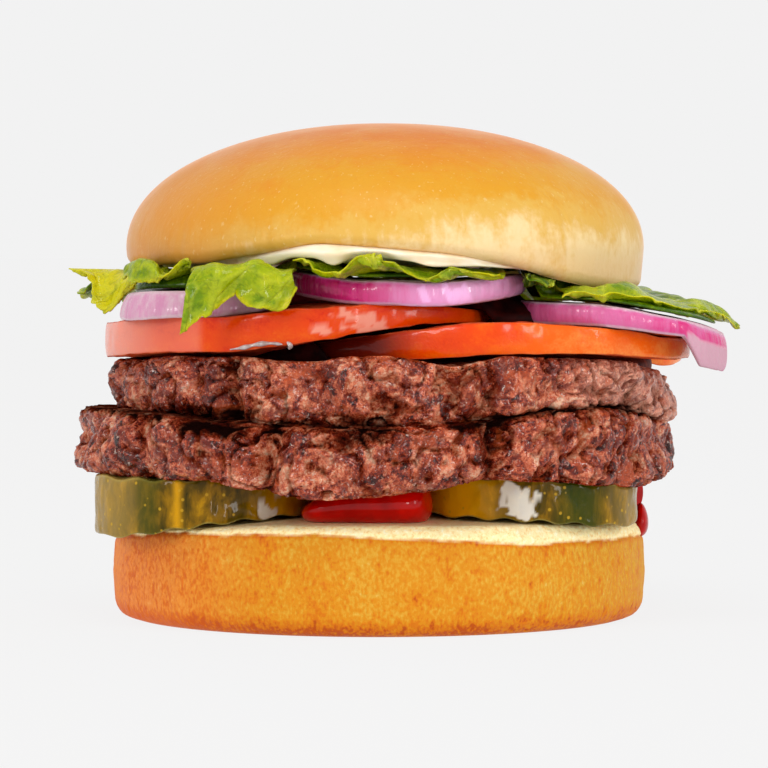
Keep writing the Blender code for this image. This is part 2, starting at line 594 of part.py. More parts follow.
def slice_on(pile, name, size, look, count, edge, power):
    """A round slice laid on the pile: its wanted underside lifted where the pile is higher."""
    cx, cy = size["centre"]
    radius = size["radius"]

    def wanted(x, y):
        past = np.clip(x - size.get("droop_from", FAR), 0, None)
        inward = 1 - np.minimum(np.hypot(x - cx, y - cy) / radius, 1) ** 2
        bend = size.get("bow", 0) * (x - cx) ** 2 - size.get("droop", 0) * past**2
        back = size.get("fall", 0) * (y - cy + radius)
        return size["under"] + size.get("rise", 0) * x + bend - back - size.get("sag", 0) * inward

    def thickness(x):
        right = size.get("thin", 0) * np.clip(x - size.get("thin_from", FAR), 0, None)
        left = size.get("slim", 0) * np.clip(size.get("slim_from", -FAR) - x, 0, None)
        return size["thick"] - right - left

    off = np.hypot(pile.x - cx, pile.y - cy)
    bed = pile.bed(wanted, size["reach"], off < radius + SLICE_MARGIN)
    whole, cut, height = rim_profile(SLICE_RINGS, 4, power)
    a = np.arange(count) * 360.0 / count
    up = (height[:, None] + 1) / 2
    r = whole[:, None] * (radius - size.get("lean", 0) * up) - cut[:, None] * edge + 0 * a
    x, y = cx + r * np.cos(np.radians(a)), cy + r * np.sin(np.radians(a))
    end = size.get("hang", 0) * past_tomato(x, y)
    z = pile.read(bed, x, y) + thickness(x) * up - end * (1 - up)
    ring_solid(name, np.stack([x, y, z], -1), look)
    pile.cover(bed + thickness(pile.x), off < radius + SLICE_MARGIN)


def leaf(pile, name, guides):
    """A thin wavy leaf: its loft kept above the pile and below the upper bun, then given its thickness."""
    sheet = ruffled(loft(guides, LEAF_COLUMNS, LEAF_ROWS))
    x, y = sheet[..., 0], sheet[..., 1]
    floor = pile.read(pile.bed(nothing, LEAF_REACH), x, y) + LEAF_THICK / 2 + LEAF_SPARE
    r, a = polar(x, y)
    room = np.where(r < at(around(MAYO_REACH), a) + ROOM_MARGIN, MAYO_LEAST + 2 * CLEAR, 0.0)
    under_bun = np.hypot(x - TOP_CENTRE, y) < TOP_RADIUS + ROOF_MARGIN
    roof = np.where(under_bun, ceiling(x, y) - CLEAR - room - LEAF_THICK / 2 - LEAF_SPARE, TOP_HEIGHT)
    sheet[..., 2] = np.minimum(np.maximum(sheet[..., 2], floor), roof)
    along, over = np.gradient(sheet, axis=1), np.gradient(sheet, axis=0)
    normal = np.cross(along, over)
    normal /= np.linalg.norm(normal, axis=-1, keepdims=True)
    plate_solid(name, sheet + normal * LEAF_THICK / 2, sheet - normal * LEAF_THICK / 2, LETTUCE)
    pile.cover_points(halved(halved(halved(sheet))), LEAF_THICK / 2)


def mayonnaise(pile):
    """The sauce spread under the upper bun, down to the leaves and slices where it is thick."""
    whole, cut, height = rim_profile(MAYO_RINGS, 4, 2.2)
    a = np.arange(MAYO_SIDES) * 360.0 / MAYO_SIDES
    r = whole[:, None] * at(around(MAYO_REACH), a) - cut[:, None] * MAYO_EDGE
    x, y = r * np.cos(np.radians(a)), r * np.sin(np.radians(a))
    high = ceiling(x, y) - CLEAR
    bed = pile.read(pile.bed(nothing, LEAF_REACH), x, y) + SAUCE_SPARE
    low = np.minimum(np.maximum(high - at(around(MAYO_THICK), a), bed), high - MAYO_LEAST)
    z = (low + high) / 2 + (high - low) / 2 * height[:, None]
    ring_solid("mayonnaise", np.stack([x, y, z], -1), MAYONNAISE)


def build():
    for thing in list(bpy.data.objects):
        bpy.data.objects.remove(thing)
    base_bun()
    for name, x, y, radius in PICKLES:
        pickle(name, x, y, radius)
    ketchup()
    patty("patty_lower", LOWER_CENTRE, LOWER_RADIUS, lower_under, seam_under, LOWER_CLEFTS, 11)
    patty("patty_upper", UPPER_CENTRE, UPPER_RADIUS, seam_over, upper_top, UPPER_CLEFTS, 23)
    pile = Pile(upper_top)
    for name, size in TOMATOES.items():
        slice_on(pile, name, size, TOMATO, TOMATO_SIDES, TOMATO_EDGE, TOMATO_POWER)
    for name, size in ONIONS.items():
        slice_on(pile, name, size, ONION, ONION_SIDES, ONION_EDGE, ONION_POWER)
    for name, guides in LEAVES.items():
        leaf(pile, name, guides)
    mayonnaise(pile)
    top_bun()


build()
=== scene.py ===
"""Looks of the double hamburger: dense surfaces and procedural finishes in place of the plain solids.

Lengths are millimetres until a surface is put into its mesh in metres. X is to the right, Y to the back
and Z up, and the origin is the centre of the flat underside. Directions round the burger are degrees
from +X, anticlockwise from above: 90 is the back, 180 the left and 270 the front.
"""
import bpy
import numpy as np
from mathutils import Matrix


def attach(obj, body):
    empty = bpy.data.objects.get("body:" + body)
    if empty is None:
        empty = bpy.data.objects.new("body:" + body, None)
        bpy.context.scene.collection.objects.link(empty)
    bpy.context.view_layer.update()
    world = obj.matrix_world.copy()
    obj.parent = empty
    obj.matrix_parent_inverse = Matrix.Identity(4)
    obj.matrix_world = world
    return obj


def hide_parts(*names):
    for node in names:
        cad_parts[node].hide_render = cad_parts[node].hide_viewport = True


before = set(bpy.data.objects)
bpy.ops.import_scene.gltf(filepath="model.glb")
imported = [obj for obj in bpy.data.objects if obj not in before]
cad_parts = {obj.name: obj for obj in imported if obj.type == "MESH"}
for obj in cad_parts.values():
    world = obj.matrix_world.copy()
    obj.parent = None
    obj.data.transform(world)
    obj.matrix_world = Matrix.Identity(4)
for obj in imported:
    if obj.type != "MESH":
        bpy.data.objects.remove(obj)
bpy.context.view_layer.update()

MM = 0.001
CLEAR = 0.35  # space left between layers that rest on one another
FAR = 99.0  # beyond the whole burger
BELOW = 40.0  # lower than anything that a topping rests on
HANG_FROM = 1.2  # how far past the right tomato slice an end starts to hang
HANG_SIDE = 56.0  # how far right it starts
HANG_REACH = 3.0  # distance over which it then reaches its full depth

# Lower bun.
BASE_FOOT = 47.5
BASE_RADIUS = 51.2
BASE_WIDEST = 8.5
BASE_FACE = 48.5
BASE_MIDDLE = 20.3
BASE_LEAN = 0.4  # how far the crust leans in above its widest
BASE_CRUST = [(0, 15), (60, 16.5), (120, 17.2), (180, 14.4), (200, 16.2), (226, 18.1), (258, 18.7),
              (280, 17.8), (305, 16.3), (344, 15.8)]
BASE_RIM = [(0, 17.8), (90, 19.5), (180, 17.8), (205, 18.2), (228, 19), (246, 20.1), (270, 20.3),
            (305, 19.8), (344, 18.5)]

# Upper bun.
TOP_CENTRE = 1.25
TOP_RADIUS = 49.6
TOP_WIDEST = 70.0
TOP_HEIGHT = 93.9
TOP_POWER = 2.1
TOP_TUCK = 2.2
TOP_CEILING = 71.5
TOP_FOOT = 66.0  # height from which the baking is reckoned
TOP_RIM = [(0, 62), (60, 64.5), (120, 65.5), (180, 66.6), (225, 67.4), (240, 69.1), (255, 71.1),
           (270, 70.2), (285, 69.1), (300, 66.9), (311, 64.5), (325, 62.8)]

# Beef patties.
LOWER_CENTRE = -0.6
LOWER_RADIUS = 58.0
LOWER_UNDER = [(0, 28), (30, 27.8), (90, 27.6), (150, 27.9), (180, 27.7), (208, 28.1), (238, 27.8),
               (254, 25.3), (264, 24.3), (276, 25.9), (290, 27.9), (306, 27.7), (329, 25.5), (337, 26.2)]
SEAM = [(20, 37.5), (50, 39.5), (80, 38.2), (110, 40.2), (140, 38.5), (180, 39), (200, 40.5), (222, 39.9),
        (244, 37.8), (283, 37.6), (301, 40.7), (311, 41.9), (322, 41.6), (333, 39.7), (350, 36.5)]
UPPER_CENTRE = 2.8
UPPER_RADIUS = 54.6
UPPER_TOP = [(20, 46.2), (45, 49.2), (90, 50.2), (135, 49.6), (180, 48.6), (205, 49.6), (222, 50.8),
             (236, 51.2), (250, 50), (260, 51.6), (270, 51.4), (276, 50.2), (282, 48.4), (286, 49.6),
             (291, 51.4), (300, 50.8), (312, 50.4), (330, 48.6), (340, 46.8), (352, 45), (5, 44.8)]
UPPER_MIDDLE = 49.2
LOWER_MIDDLE = 28.4
SEAM_MIDDLE = 39.2
PATTY_EDGE = 3.4  # width of the rounding at a patty's rim
PATTY_POWER = 2.8  # squareness of that rounding
MEET = 0.15  # how far soft neighbours press into one another
LUMP_SIZE = 9.0
LUMP_DEPTH = 3.4
LUMP_SINK = 0.1  # how much of a hollow's depth its edges lose in height
# Clefts in the rims: direction, depth, half width in degrees.
LOWER_CLEFTS = [(221, 1.2, 3), (249, 4.2, 3.2), (265, 1.2, 3), (277, 2.2, 2.6), (293.5, 5.2, 3.6),
                (20, 3.5, 3.5), (64, 2.5, 3), (101, 4, 3.4), (139, 3, 3), (190, 1.6, 3)]
UPPER_CLEFTS = [(235, 4, 3.2), (254, 1.4, 3), (281, 1.4, 3), (288, 2.4, 2.6), (304, 1.4, 3), (32, 3.6, 3.4),
                (83, 2.8, 3), (118, 3.8, 3.4), (160, 2.4, 3)]

# Pickle chips: name, centre x and y, radius. The cut faces are waves that run to the back.
PICKLES = [("pickle_left", -33, -20, 20.3), ("pickle_right", 28, -19.4, 20.6),
           ("pickle_back_left", -18, 27, 19.5), ("pickle_back_right", 24, 28, 19.5)]
PICKLE_WAVE = 6.5
PICKLE_RIPPLE = 0.3
PICKLE_BEND_FROM = 47.5
PICKLE_BEND = 0.018

# Ketchup: how far it reaches in each direction between the pickles.
KETCHUP_REACH = [(0, 51.6), (10, 51.6), (25, 30), (70, 30), (87, 44), (110, 30), (150, 36), (166, 44),
                 (185, 36), (215, 12), (242, 26), (252, 45.5), (281, 46), (290, 28), (310, 10), (345, 36)]
KETCHUP_CLEAR = 1.4
# Share of the room under the beef that the ketchup's rim fills.
KETCHUP_FILL = [(30, 1), (200, 1), (244, 0.4), (251, 0.4), (255, 0.65), (259, 0.85), (264, 1), (280, 0.95),
                (286, 0.7), (292, 0.4), (330, 1)]
KETCHUP_EDGE = 5.0  # width of the rounding at its rim

# A drop of it over the lower bun's rim on the right: centre and half sizes.
DRIP_CENTRE = (49.9, -5.0, 18.3)
DRIP_HALF = (1.5, 3.6, 3.2)

# Tomato and onion slices, from the bottom of the pile up.
TOMATOES = {
    "tomato_back": dict(centre=(37.0, 30.0), radius=23.5, thick=3.7, under=47.9, reach=3,
                        droop_from=38.0, droop=0.008),
    "tomato_right": dict(centre=(20.5, -8.0), radius=38.8, thick=5.9, under=49.2, reach=6,
                         thin_from=26.0, thin=0.07, slim_from=12.0, slim=0.13),
    "tomato_left": dict(centre=(-13.5, -7.0), radius=38.5, thick=6.4, under=53.8, reach=4, rise=0.119,
                        sag=2.5, fall=0.04, thin_from=-14.0, thin=0.125),
}
ONIONS = {
    "onion_left": dict(centre=(-34.0, -25.9), radius=14.6, thick=4.9, under=61.1, reach=2, rise=0.12,
                       lean=1.5),
    "onion_right": dict(centre=(45.4, -21.5), radius=19.6, thick=4.2, under=58.3, reach=3, rise=-0.075,
                        droop_from=50.0, droop=0.012, thin_from=40.0, thin=0.07, hang=5.0),
    "onion_back": dict(centre=(-24.0, 20.0), radius=18.5, thick=4.0, under=56.0, reach=4),
    "onion_middle": dict(centre=(5.5, -23.0), radius=22.0, thick=4.6, under=59.5, reach=2, bow=0.0042,
                         thin_from=16.0, thin=0.06),
}
# Depth of purple on each skin: at the left, its change to the right, and from where to where it changes.
ONION_PURPLE = {"onion_left": (0.10, 0.0, 0.0, 1.0), "onion_middle": (0.70, -0.44, -16.0, 22.0),
                "onion_right": (0.40, 0.12, 44.0, 58.0), "onion_back": (0.40, 0.12, 44.0, 58.0)}
# Painted upright streaks of reflection on the middle slice: place and half width.
ONION_GLEAMS = [(9.4, 0.8), (15.6, 2.3)]

# Mayonnaise under the upper bun.
MAYO_REACH = [(0, 39), (60, 40), (120, 38), (180, 40), (220, 41), (236, 44), (246, 47), (255, 49.2),
              (288, 49.2), (300, 47.4), (318, 40)]
MAYO_THICK = [(0, 1.8), (225, 1.8), (240, 4.2), (285, 4), (305, 1.8)]
MAYO_LEAST = 0.9

# Lettuce: each leaf is a loft through guide lines, from its root inside the burger to its edge.
LEAF_THICK = 0.8
LEAF_SPARE = 0.25  # more room kept over and under a leaf
LEAF_RUFFLE = 1.1  # height of the waves along a leaf's edge
LEAF_WAVE = 15.0  # distance from wave to wave
LEAVES = {
    "lettuce_front": [
        [(-31, -32, 65), (-24, -31, 65), (-15, -31, 65.6)],
        [(-34, -42, 65.8), (-25, -42, 66.6), (-15, -42, 66.2)],
        [(-33, -48, 66.4), (-29, -48.5, 67.6), (-24.5, -48.5, 67.8), (-20.5, -48.5, 67.5),
         (-15.5, -48, 66.2)],
        [(-34.5, -51, 63), (-29.5, -51.5, 65.5), (-25, -51, 66.5), (-20.5, -51.5, 65), (-15.5, -50, 65.3)],
        [(-35.6, -50.5, 54.6), (-33, -51.3, 56.4), (-30.4, -51, 58.4), (-28.2, -50.2, 61.8),
         (-25.6, -49.6, 63), (-24.6, -50.6, 59.6), (-20.8, -51, 59.2), (-17.8, -50.2, 60.6),
         (-15.2, -49, 63.6)],
    ],
    "lettuce_middle": [
        [(-14, -30, 66), (3, -28, 66.4), (22, -29, 66.6)],
        [(-14.5, -41, 65.6), (3, -40, 66.4), (23, -39, 66.8)],
        [(-15.5, -47.5, 64.8), (-9, -49, 65.6), (-6.5, -50.6, 66.6), (-3.6, -51.6, 69), (-0.4, -51.4, 68.6),
         (3, -50, 66.6), (6, -48.6, 66), (13, -47, 65.8), (22, -45, 66.2)],
    ],
    "lettuce_left": [
        [(-40, -1, 64.8), (-38, -9, 64.8), (-36, -16, 64.8)],
        [(-52, -2, 65.6), (-48.5, -9, 65), (-44, -17, 64.6)],
        [(-59.3, -5, 65.7), (-55.6, -7, 64), (-54.2, -8.5, 60.4), (-51.6, -10.5, 58.8), (-48.6, -13, 59.4),
         (-46.2, -16, 61.8)],
    ],
    "lettuce_curl": [
        [(-41, -15, 65.4), (-38, -20, 65.4), (-34, -27, 65.2)],
        [(-46.4, -25, 67), (-42, -31, 67.8), (-39, -34, 65.4), (-34.6, -37, 66)],
        [(-47.6, -26, 64), (-44.6, -31.5, 63.2), (-41.4, -34.5, 65), (-38.4, -37, 64.4),
         (-34.6, -39.5, 63.6)],
    ],
    "lettuce_right": [
        [(31, -26, 63.2), (42, -18, 62), (52, -10, 60), (60, -6, 58.6), (66, -10, 55.8)],
        [(34, -37, 61.8), (42.4, -33.5, 63.4), (46, -31.5, 63.8), (50, -28.5, 61.4), (54.5, -25, 60),
         (60, -20, 60.4), (64, -17, 58.8), (67, -15, 56)],
        [(33.5, -41, 59.8), (42, -40.5, 58.8), (50, -38, 57.6), (56.6, -32, 56.4), (62.4, -24, 55.8),
         (68, -16, 54.7)],
    ],
    "lettuce_tuck": [
        [(25.6, -25, 66.4), (27.8, -28, 66.2), (30.6, -27.5, 65.9)],
        [(26.2, -34, 66), (28.6, -38, 65.4), (32.2, -36, 64.7)],
        [(26.6, -39, 64.2), (28.2, -41, 63), (32, -39.5, 61.8)],
    ],
    "lettuce_back_right": [
        [(52, -2, 60.4), (44, 18, 61.6), (26, 30, 63.4)],
        [(60.5, 2, 59.6), (52, 20, 61.6), (44, 33, 60), (30, 43, 62.8), (20, 44, 61.6)],
        [(63, 3, 58.6), (58, 19, 57.6), (49, 37, 59.2), (33, 49, 58), (20, 51, 60.4)],
    ],
    "lettuce_back": [
        [(18, 30, 63.8), (-2, 31, 63.8), (-18, 27, 64)],
        [(16, 46, 62), (6, 49, 63.6), (-8, 50, 61.6), (-20, 45, 63.2)],
        [(17, 53, 58.6), (7, 56, 61), (-8, 56, 58), (-24, 50, 61.4)],
    ],
    "lettuce_back_left": [
        [(-22, 25, 64.2), (-34, 13, 64.6), (-40, 4, 64.8)],
        [(-28, 41, 62.8), (-42, 30, 64.4), (-50, 17, 62.6), (-53, 4, 64)],
        [(-32, 47, 60.6), (-46, 36, 60), (-56, 20, 61.4), (-57.5, 5, 60.6)],
    ],
}
# How yellow each leaf is, from 0 for dark green to 1 for yellow.
LEAF_TINT = {"lettuce_front": 0.5, "lettuce_middle": 0.45, "lettuce_left": 0.95, "lettuce_curl": 0.5,
             "lettuce_right": 0.5, "lettuce_tuck": 0.1, "lettuce_back_right": 0.4, "lettuce_back": 0.5,
             "lettuce_back_left": 0.35}

# Dark pads of painted shade under the slices, and a clear strand and drop of juice under the left tomato
# slice.
JUICE_FRONT = 36.0  # reach of the dark pads to the front and back
JUICE_LEFT = 8.0  # how much farther they reach to the left
JUICE_RIGHT = 13.5  # and to the right
JUICE_STRAND = [(-27, -42.75, 51.9), (-24.5, -43.6, 52.3), (-22, -44.3, 52.9), (-19.5, -44.8, 53.1),
                (-17.4, -45, 52.9)]
JUICE_DROP = [(-16.6, -45.2, 53.4), (-16, -45.2, 52.7), (-16.3, -45, 52)]
STRAND_RADIUS = 0.42
DROP_RADIUS = 0.6

# Pads that fill the shaded room between the toppings, one dark as painted shade and the rest of lettuce:
# centre, radius, thickness.
JUICES_INSIDE = ((25.0, -18.0), 13.0, 4.6)
LEAF_SCRAPS = {"leaf_scrap_right": ((44.6, -21), 18.2, 1.5), "leaf_scrap_middle": ((3, -22), 21, 1.4),
               "leaf_scrap_left": ((-33, -22), 12.5, 3), "leaf_scrap_inner": ((31, -20), 9, 5.5)}

# Studio: the camera of the photograph in metres, its tilt in degrees and its lens in millimetres.
VIEW_FROM = (0.00096, -0.80, 0.075)
VIEW_DOWN = 2.22
LENS = 195.6
SENSOR = 36.0
AIM = (0.0, 0.0, 0.045)  # point that the lamps face
BACKDROP = 242  # display value of the sky behind the burger
FLOOR_GLOW = 0.85  # light given off by the floor, so that it shows as pale as the sky
STUDIO_SHARE = 0.78  # surface colour for each unit of shown colour, in the studio's light
# Soft boxes: name, place in metres, width and height in metres, power in watts.
LAMPS = [("strip_near", (0.36, -0.76, 0.20), 0.07, 0.36, 1.1),
         ("strip_side", (0.74, -0.44, 0.20), 0.09, 0.36, 1.1),
         ("box_left", (-0.5, -0.7, 0.3), 0.2, 0.2, 1.5),
         ("box_top", (-0.05, -0.35, 0.9), 0.4, 0.4, 2.6)]

TURN = np.arange(0.0, 360.0, 0.5)


def around(stations, soft=6.0):
    """A value for each half degree round the burger: straight between the stations, then softened."""
    angle, value = np.array(stations, float).T
    table = np.interp(TURN, angle, value, period=360)
    reach = int(soft / 0.5)
    weight = np.hanning(2 * reach + 3)[1:-1]
    wrapped = np.concatenate([table[-reach:], table, table[:reach]])
    return np.convolve(wrapped, weight / weight.sum(), "valid")


def at(table, angle):
    """The value of a table at any directions in degrees."""
    return np.interp(angle, TURN, table, period=360)


def polar(x, y, centre=0.0):
    """Distance and direction of points from an upright axis at x = centre, y = 0."""
    return np.hypot(x - centre, y), np.degrees(np.arctan2(y, x - centre))


def step_up(value, low, high):
    """0 below low, 1 above high, and an S-shaped climb between."""
    t = np.clip((value - low) / (high - low), 0, 1)
    return t * t * (3 - 2 * t)


def chance(ix, iy, iz, seed):
    """A number from 0 to 1 for each whole-numbered place, the same on every run."""
    mixed = (ix * 73856093) ^ (iy * 19349663) ^ (iz * 83492791) ^ (seed * 6542989)
    mixed = ((mixed ^ (mixed >> 13)) * 1274126177) & 0xFFFFFFFF
    mixed = ((mixed ^ (mixed >> 15)) * 2246822519) & 0xFFFFFFFF
    return ((mixed ^ (mixed >> 16)) & 0xFFFFFF) / float(0xFFFFFF)


def pebbles(x, y, z, size, seed):
    """Distances in sizes to the nearest and the next of scattered points, and a number for the nearest.

    The first is 0 on a lump and about 1 in a crease, and their difference is 0 along the creases.
    """
    place = np.stack(np.broadcast_arrays(x, y, z)) / size
    cell = np.floor(place).astype(np.int64)
    first = np.full(place.shape[1:], 9.0)
    second = np.full(place.shape[1:], 9.0)
    tone = np.zeros(place.shape[1:])
    for step in np.ndindex(3, 3, 3):
        near = [cell[k] + step[k] - 1 for k in range(3)]
        far = sum((place[k] - near[k] - chance(*near, seed + k)) ** 2 for k in range(3))
        second = np.minimum(second, np.maximum(first, far))
        tone = np.where(far < first, chance(*near, seed + 5), tone)
        first = np.minimum(first, far)
    return np.sqrt(first), np.sqrt(second), tone


def drift(x, y, z, size, seed):
    """Smooth noise from -1 to 1: a number at each corner of a lattice, blended along each axis."""
    place = np.stack(np.broadcast_arrays(x, y, z)) / size
    cell = np.floor(place).astype(np.int64)
    part = place - cell
    part = part * part * (3 - 2 * part)
    total = 0.0
    for step in np.ndindex(2, 2, 2):
        weight = 1.0
        for k in range(3):
            weight = weight * (part[k] if step[k] else 1 - part[k])
        total = total + weight * chance(*(cell[k] + step[k] for k in range(3)), seed)
    return 2 * total - 1


def smooth_line(points, count):
    """A Catmull-Rom curve through the points, read at count evenly spaced parameters."""
    points = np.asarray(points, float)
    ends = np.vstack([2 * points[0] - points[1], points, 2 * points[-1] - points[-2]])
    t = np.linspace(0, len(points) - 1, count)
    i = np.minimum(t.astype(int), len(points) - 2)
    f = (t - i)[:, None]
    a, b, c, d = ends[i], ends[i + 1], ends[i + 2], ends[i + 3]
    return 0.5 * (2 * b + (c - a) * f + (2 * a - 5 * b + 4 * c - d) * f**2 + (3 * b - a - 3 * c + d) * f**3)


def loft(guides, columns, rows):
    """A sheet of points: each guide line read at the columns, then a smooth line across them."""
    lines = np.stack([smooth_line(guide, columns) for guide in guides])
    return smooth_line(lines.reshape(len(guides), -1), rows).reshape(rows, columns, 3)


def run(sheet, axis):
    """Distance run along one direction of a grid of points, from 0 at its start."""
    step = np.linalg.norm(np.diff(sheet, axis=axis), axis=-1)
    return np.insert(np.cumsum(step, axis=axis), 0, 0.0, axis=axis)


def unit(vectors):
    """The same directions with length 1."""
    return vectors / np.maximum(np.linalg.norm(vectors, axis=-1, keepdims=True), 1e-9)


def ruffled(sheet):
    """A sheet with waves in height that run out to its edge, where they are highest."""
    out = np.linspace(0, 1, len(sheet))[:, None] ** 2
    sheet[..., 2] += LEAF_RUFFLE * out * np.sin(2 * np.pi * run(sheet[-1], 0) / LEAF_WAVE)
    return sheet


def rim_profile(face_shares, rim_steps, power):
    """Places round half the section of a slab with a rounded rim, from under its centre to above it.

    A ring's radius is whole * R - cut * edge, and its height is a share from -1 below to 1 above.
    """
    phi = np.linspace(-90, 90, rim_steps)
    cosine = np.clip(np.cos(np.radians(phi)), 0, 1) ** (2 / power)
    sine = np.sin(np.radians(phi))
    faces = np.array(face_shares, float)
    whole = np.concatenate([faces, np.ones(rim_steps), faces[::-1]])
    cut = np.concatenate([faces, 1 - cosine, faces[::-1]])
    level = np.sign(sine) * np.abs(sine) ** (2 / power)
    height = np.concatenate([-np.ones(len(faces)), level, np.ones(len(faces))])
    return whole[:, None], cut[:, None], height[:, None]


def put_mesh(node, points, quads, triangles, look, marks):
    """One smooth mesh in metres that stands for a node, with a number at each point for every mark."""
    mesh = bpy.data.meshes.new("dressed_" + node)
    corners = np.concatenate([quads.ravel(), triangles.ravel()]).astype(np.int32)
    starts = np.concatenate([np.arange(len(quads)) * 4, len(quads) * 4 + np.arange(len(triangles)) * 3])
    mesh.vertices.add(len(points))
    mesh.vertices.foreach_set("co", (points * MM).astype(np.float32).ravel())
    mesh.loops.add(len(corners))
    mesh.loops.foreach_set("vertex_index", corners)
    mesh.polygons.add(len(starts))
    mesh.polygons.foreach_set("loop_start", starts.astype(np.int32))
    for mark, values in marks.items():
        layer = mesh.attributes.new(mark, "FLOAT", "POINT")
        layer.data.foreach_set("value", values.astype(np.float32))
    mesh.update(calc_edges=True)
    mesh.shade_smooth()
    mesh.materials.append(look)
    piece = bpy.data.objects.new("dressed_" + node, mesh)
    bpy.context.scene.collection.objects.link(piece)
    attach(piece, "root")
    return piece


def closed_rings(node, slot, place, look, **marks):
    """A closed surface: quads between neighbouring rings, joined round, with a fan at both ends."""
    rings = np.stack(np.broadcast_arrays(*place), -1)
    rows, columns = rings.shape[:2]
    index = np.arange(rows * columns).reshape(rows, columns)
    beside = np.roll(index, -1, axis=1)
    quads = np.stack([index[:-1], beside[:-1], beside[1:], index[1:]], -1).reshape(-1, 4)
    low = np.full(columns, rows * columns)
    fans = np.concatenate([np.stack([beside[0], index[0], low], -1),
                           np.stack([index[-1], beside[-1], low + 1], -1)])
    points = np.vstack([rings.reshape(-1, 3), rings[0].mean(axis=0), rings[-1].mean(axis=0)])
    kept = {}
    for mark, values in marks.items():
        values = np.broadcast_to(values, (rows, columns))
        kept[mark] = np.concatenate([values.ravel(), [values[0].mean(), values[-1].mean()]])
    piece = put_mesh(node, points, quads, fans, look, kept)
    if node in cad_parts:
        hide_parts(node)
    return piece


def sheet_normals(sheet):
    """Unit normals of a grid of points: the cross product of its two directions."""
    return unit(np.cross(np.gradient(sheet, axis=1), np.gradient(sheet, axis=0)))


def leaf_plate(node, sheet, half, look, **marks):
    """A closed thin plate: the sheet moved out along its normals both ways, joined along its edge."""
    rows, columns = sheet.shape[:2]
    normal = sheet_normals(sheet)
    size = rows * columns
    index = np.arange(size).reshape(rows, columns)
    top = np.stack([index[:-1, :-1], index[:-1, 1:], index[1:, 1:], index[1:, :-1]], -1).reshape(-1, 4)
    loop = np.concatenate([index[0, :-1], index[:-1, -1], index[-1, :0:-1], index[:0:-1, 0]])
    after = np.roll(loop, -1)
    side = np.stack([loop + size, after + size, after, loop], -1)
    quads = np.concatenate([top, top[:, ::-1] + size, side])
    points = np.vstack([(sheet + normal * half[..., None]).reshape(-1, 3),
                        (sheet - normal * half[..., None]).reshape(-1, 3)])
    kept = {}
    for mark, values in marks.items():
        kept[mark] = np.tile(np.broadcast_to(values, (rows, columns)).ravel(), 2)
    piece = put_mesh(node, points, quads, np.zeros((0, 3), int), look, kept)
    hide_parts(node)
    return piece


class Pile:
    """Heights reached by the stacked layers, on a square grid, so that each new one lies on the last."""

    CELL = 1.0
    HALF = 80

    def __init__(self, surface):
        """A pile that starts as this surface, with nothing lying on it yet."""
        line = np.arange(-self.HALF, self.HALF + 1) * self.CELL
        self.x, self.y = np.meshgrid(line, line)
        self.height = surface(self.x, self.y)
        self.lowest = np.full(self.height.shape, FAR)

    def read(self, table, x, y):
        """Bilinear reading of a table on the grid."""
        u = np.clip(x / self.CELL + self.HALF, 0, 2 * self.HALF - 0.001)
        v = np.clip(y / self.CELL + self.HALF, 0, 2 * self.HALF - 0.001)
        i, j = v.astype(int), u.astype(int)
        f, g = v - i, u - j
        low = table[i, j] * (1 - g) + table[i, j + 1] * g
        high = table[i + 1, j] * (1 - g) + table[i + 1, j + 1] * g
        return low * (1 - f) + high * f

    def bed(self, wanted, reach, counts=True):
        """The wanted underside, lifted clear of the pile where that counts.

        The height is the highest within reach, which is then averaged over the same reach.
        """
        aim = wanted(self.x, self.y)
        table = np.where(counts, np.maximum(self.height, aim), aim)
        for axis in (0, 1):
            steps = [np.roll(table, s, axis) for s in range(-reach, reach + 1)]
            table = np.max(steps, axis=0)
        for half in (reach // 2, reach - reach // 2):
            for axis in (0, 1):
                steps = [np.roll(table, s, axis) for s in range(-half, half + 1)]
                table = np.mean(steps, axis=0)
        return table + CLEAR

    def cover(self, bed, top, inside):
        """Add a layer's upper face where the layer lies, and keep the lowest underside."""
        self.lowest = np.where(inside, np.minimum(self.lowest, bed), self.lowest)
        self.height = np.where(inside, np.maximum(self.height, top), self.height)

    def cover_points(self, points, lift):
        """Add the cells under a sheet of points, and their neighbours."""
        i = np.rint(points[..., 1] / self.CELL + self.HALF).astype(int).ravel()
        j = np.rint(points[..., 0] / self.CELL + self.HALF).astype(int).ravel()
        z = points[..., 2].ravel() + lift
        for di in (-1, 0, 1):
            for dj in (-1, 0, 1):
                np.maximum.at(self.height, (i + di, j + dj), z)


def nothing(x, y):
    """A wanted underside far below everything, for a layer that only follows the pile."""
    return 0 * x + BELOW


def base_face(x, y):
    """The cut face of the lower bun, and the level that it would keep past its rim."""
    r, a = polar(x, y)
    rim = at(around(BASE_RIM), a)
    return BASE_MIDDLE + (rim - BASE_MIDDLE) * np.minimum(r / BASE_FACE, 1) ** 4


def ceiling(x, y):
    """The underside of the upper bun: a flat middle that comes down to the edge all round."""
    r, a = polar(x, y, TOP_CENTRE)
    rim = at(around(TOP_RIM), a)
    return rim + (TOP_CEILING - rim) * (1 - np.minimum(r / (TOP_RADIUS - TOP_TUCK), 1) ** 4)


def patty_face(stations, middle, centre, radius, sag, x, y):
    """A face of a patty: its rim's height in each direction, passing smoothly to the middle's."""
    r, a = polar(x, y, centre)
    share = np.minimum(r / radius, 1)
    rim = at(around(stations, 4.0), a)
    return middle + (rim - middle) * share**5 + sag * (1 - share**6)


def lower_under(x, y):
    """The underside of the lower patty, which sags a little in its middle."""
    return patty_face(LOWER_UNDER, LOWER_MIDDLE, LOWER_CENTRE, LOWER_RADIUS, 0.2, x, y)


def seam_under(x, y):
    """The top of the lower patty, which here meets the upper one, so that no light passes between them."""
    return patty_face(SEAM, SEAM_MIDDLE, LOWER_CENTRE, LOWER_RADIUS, 0.0, x, y) + MEET


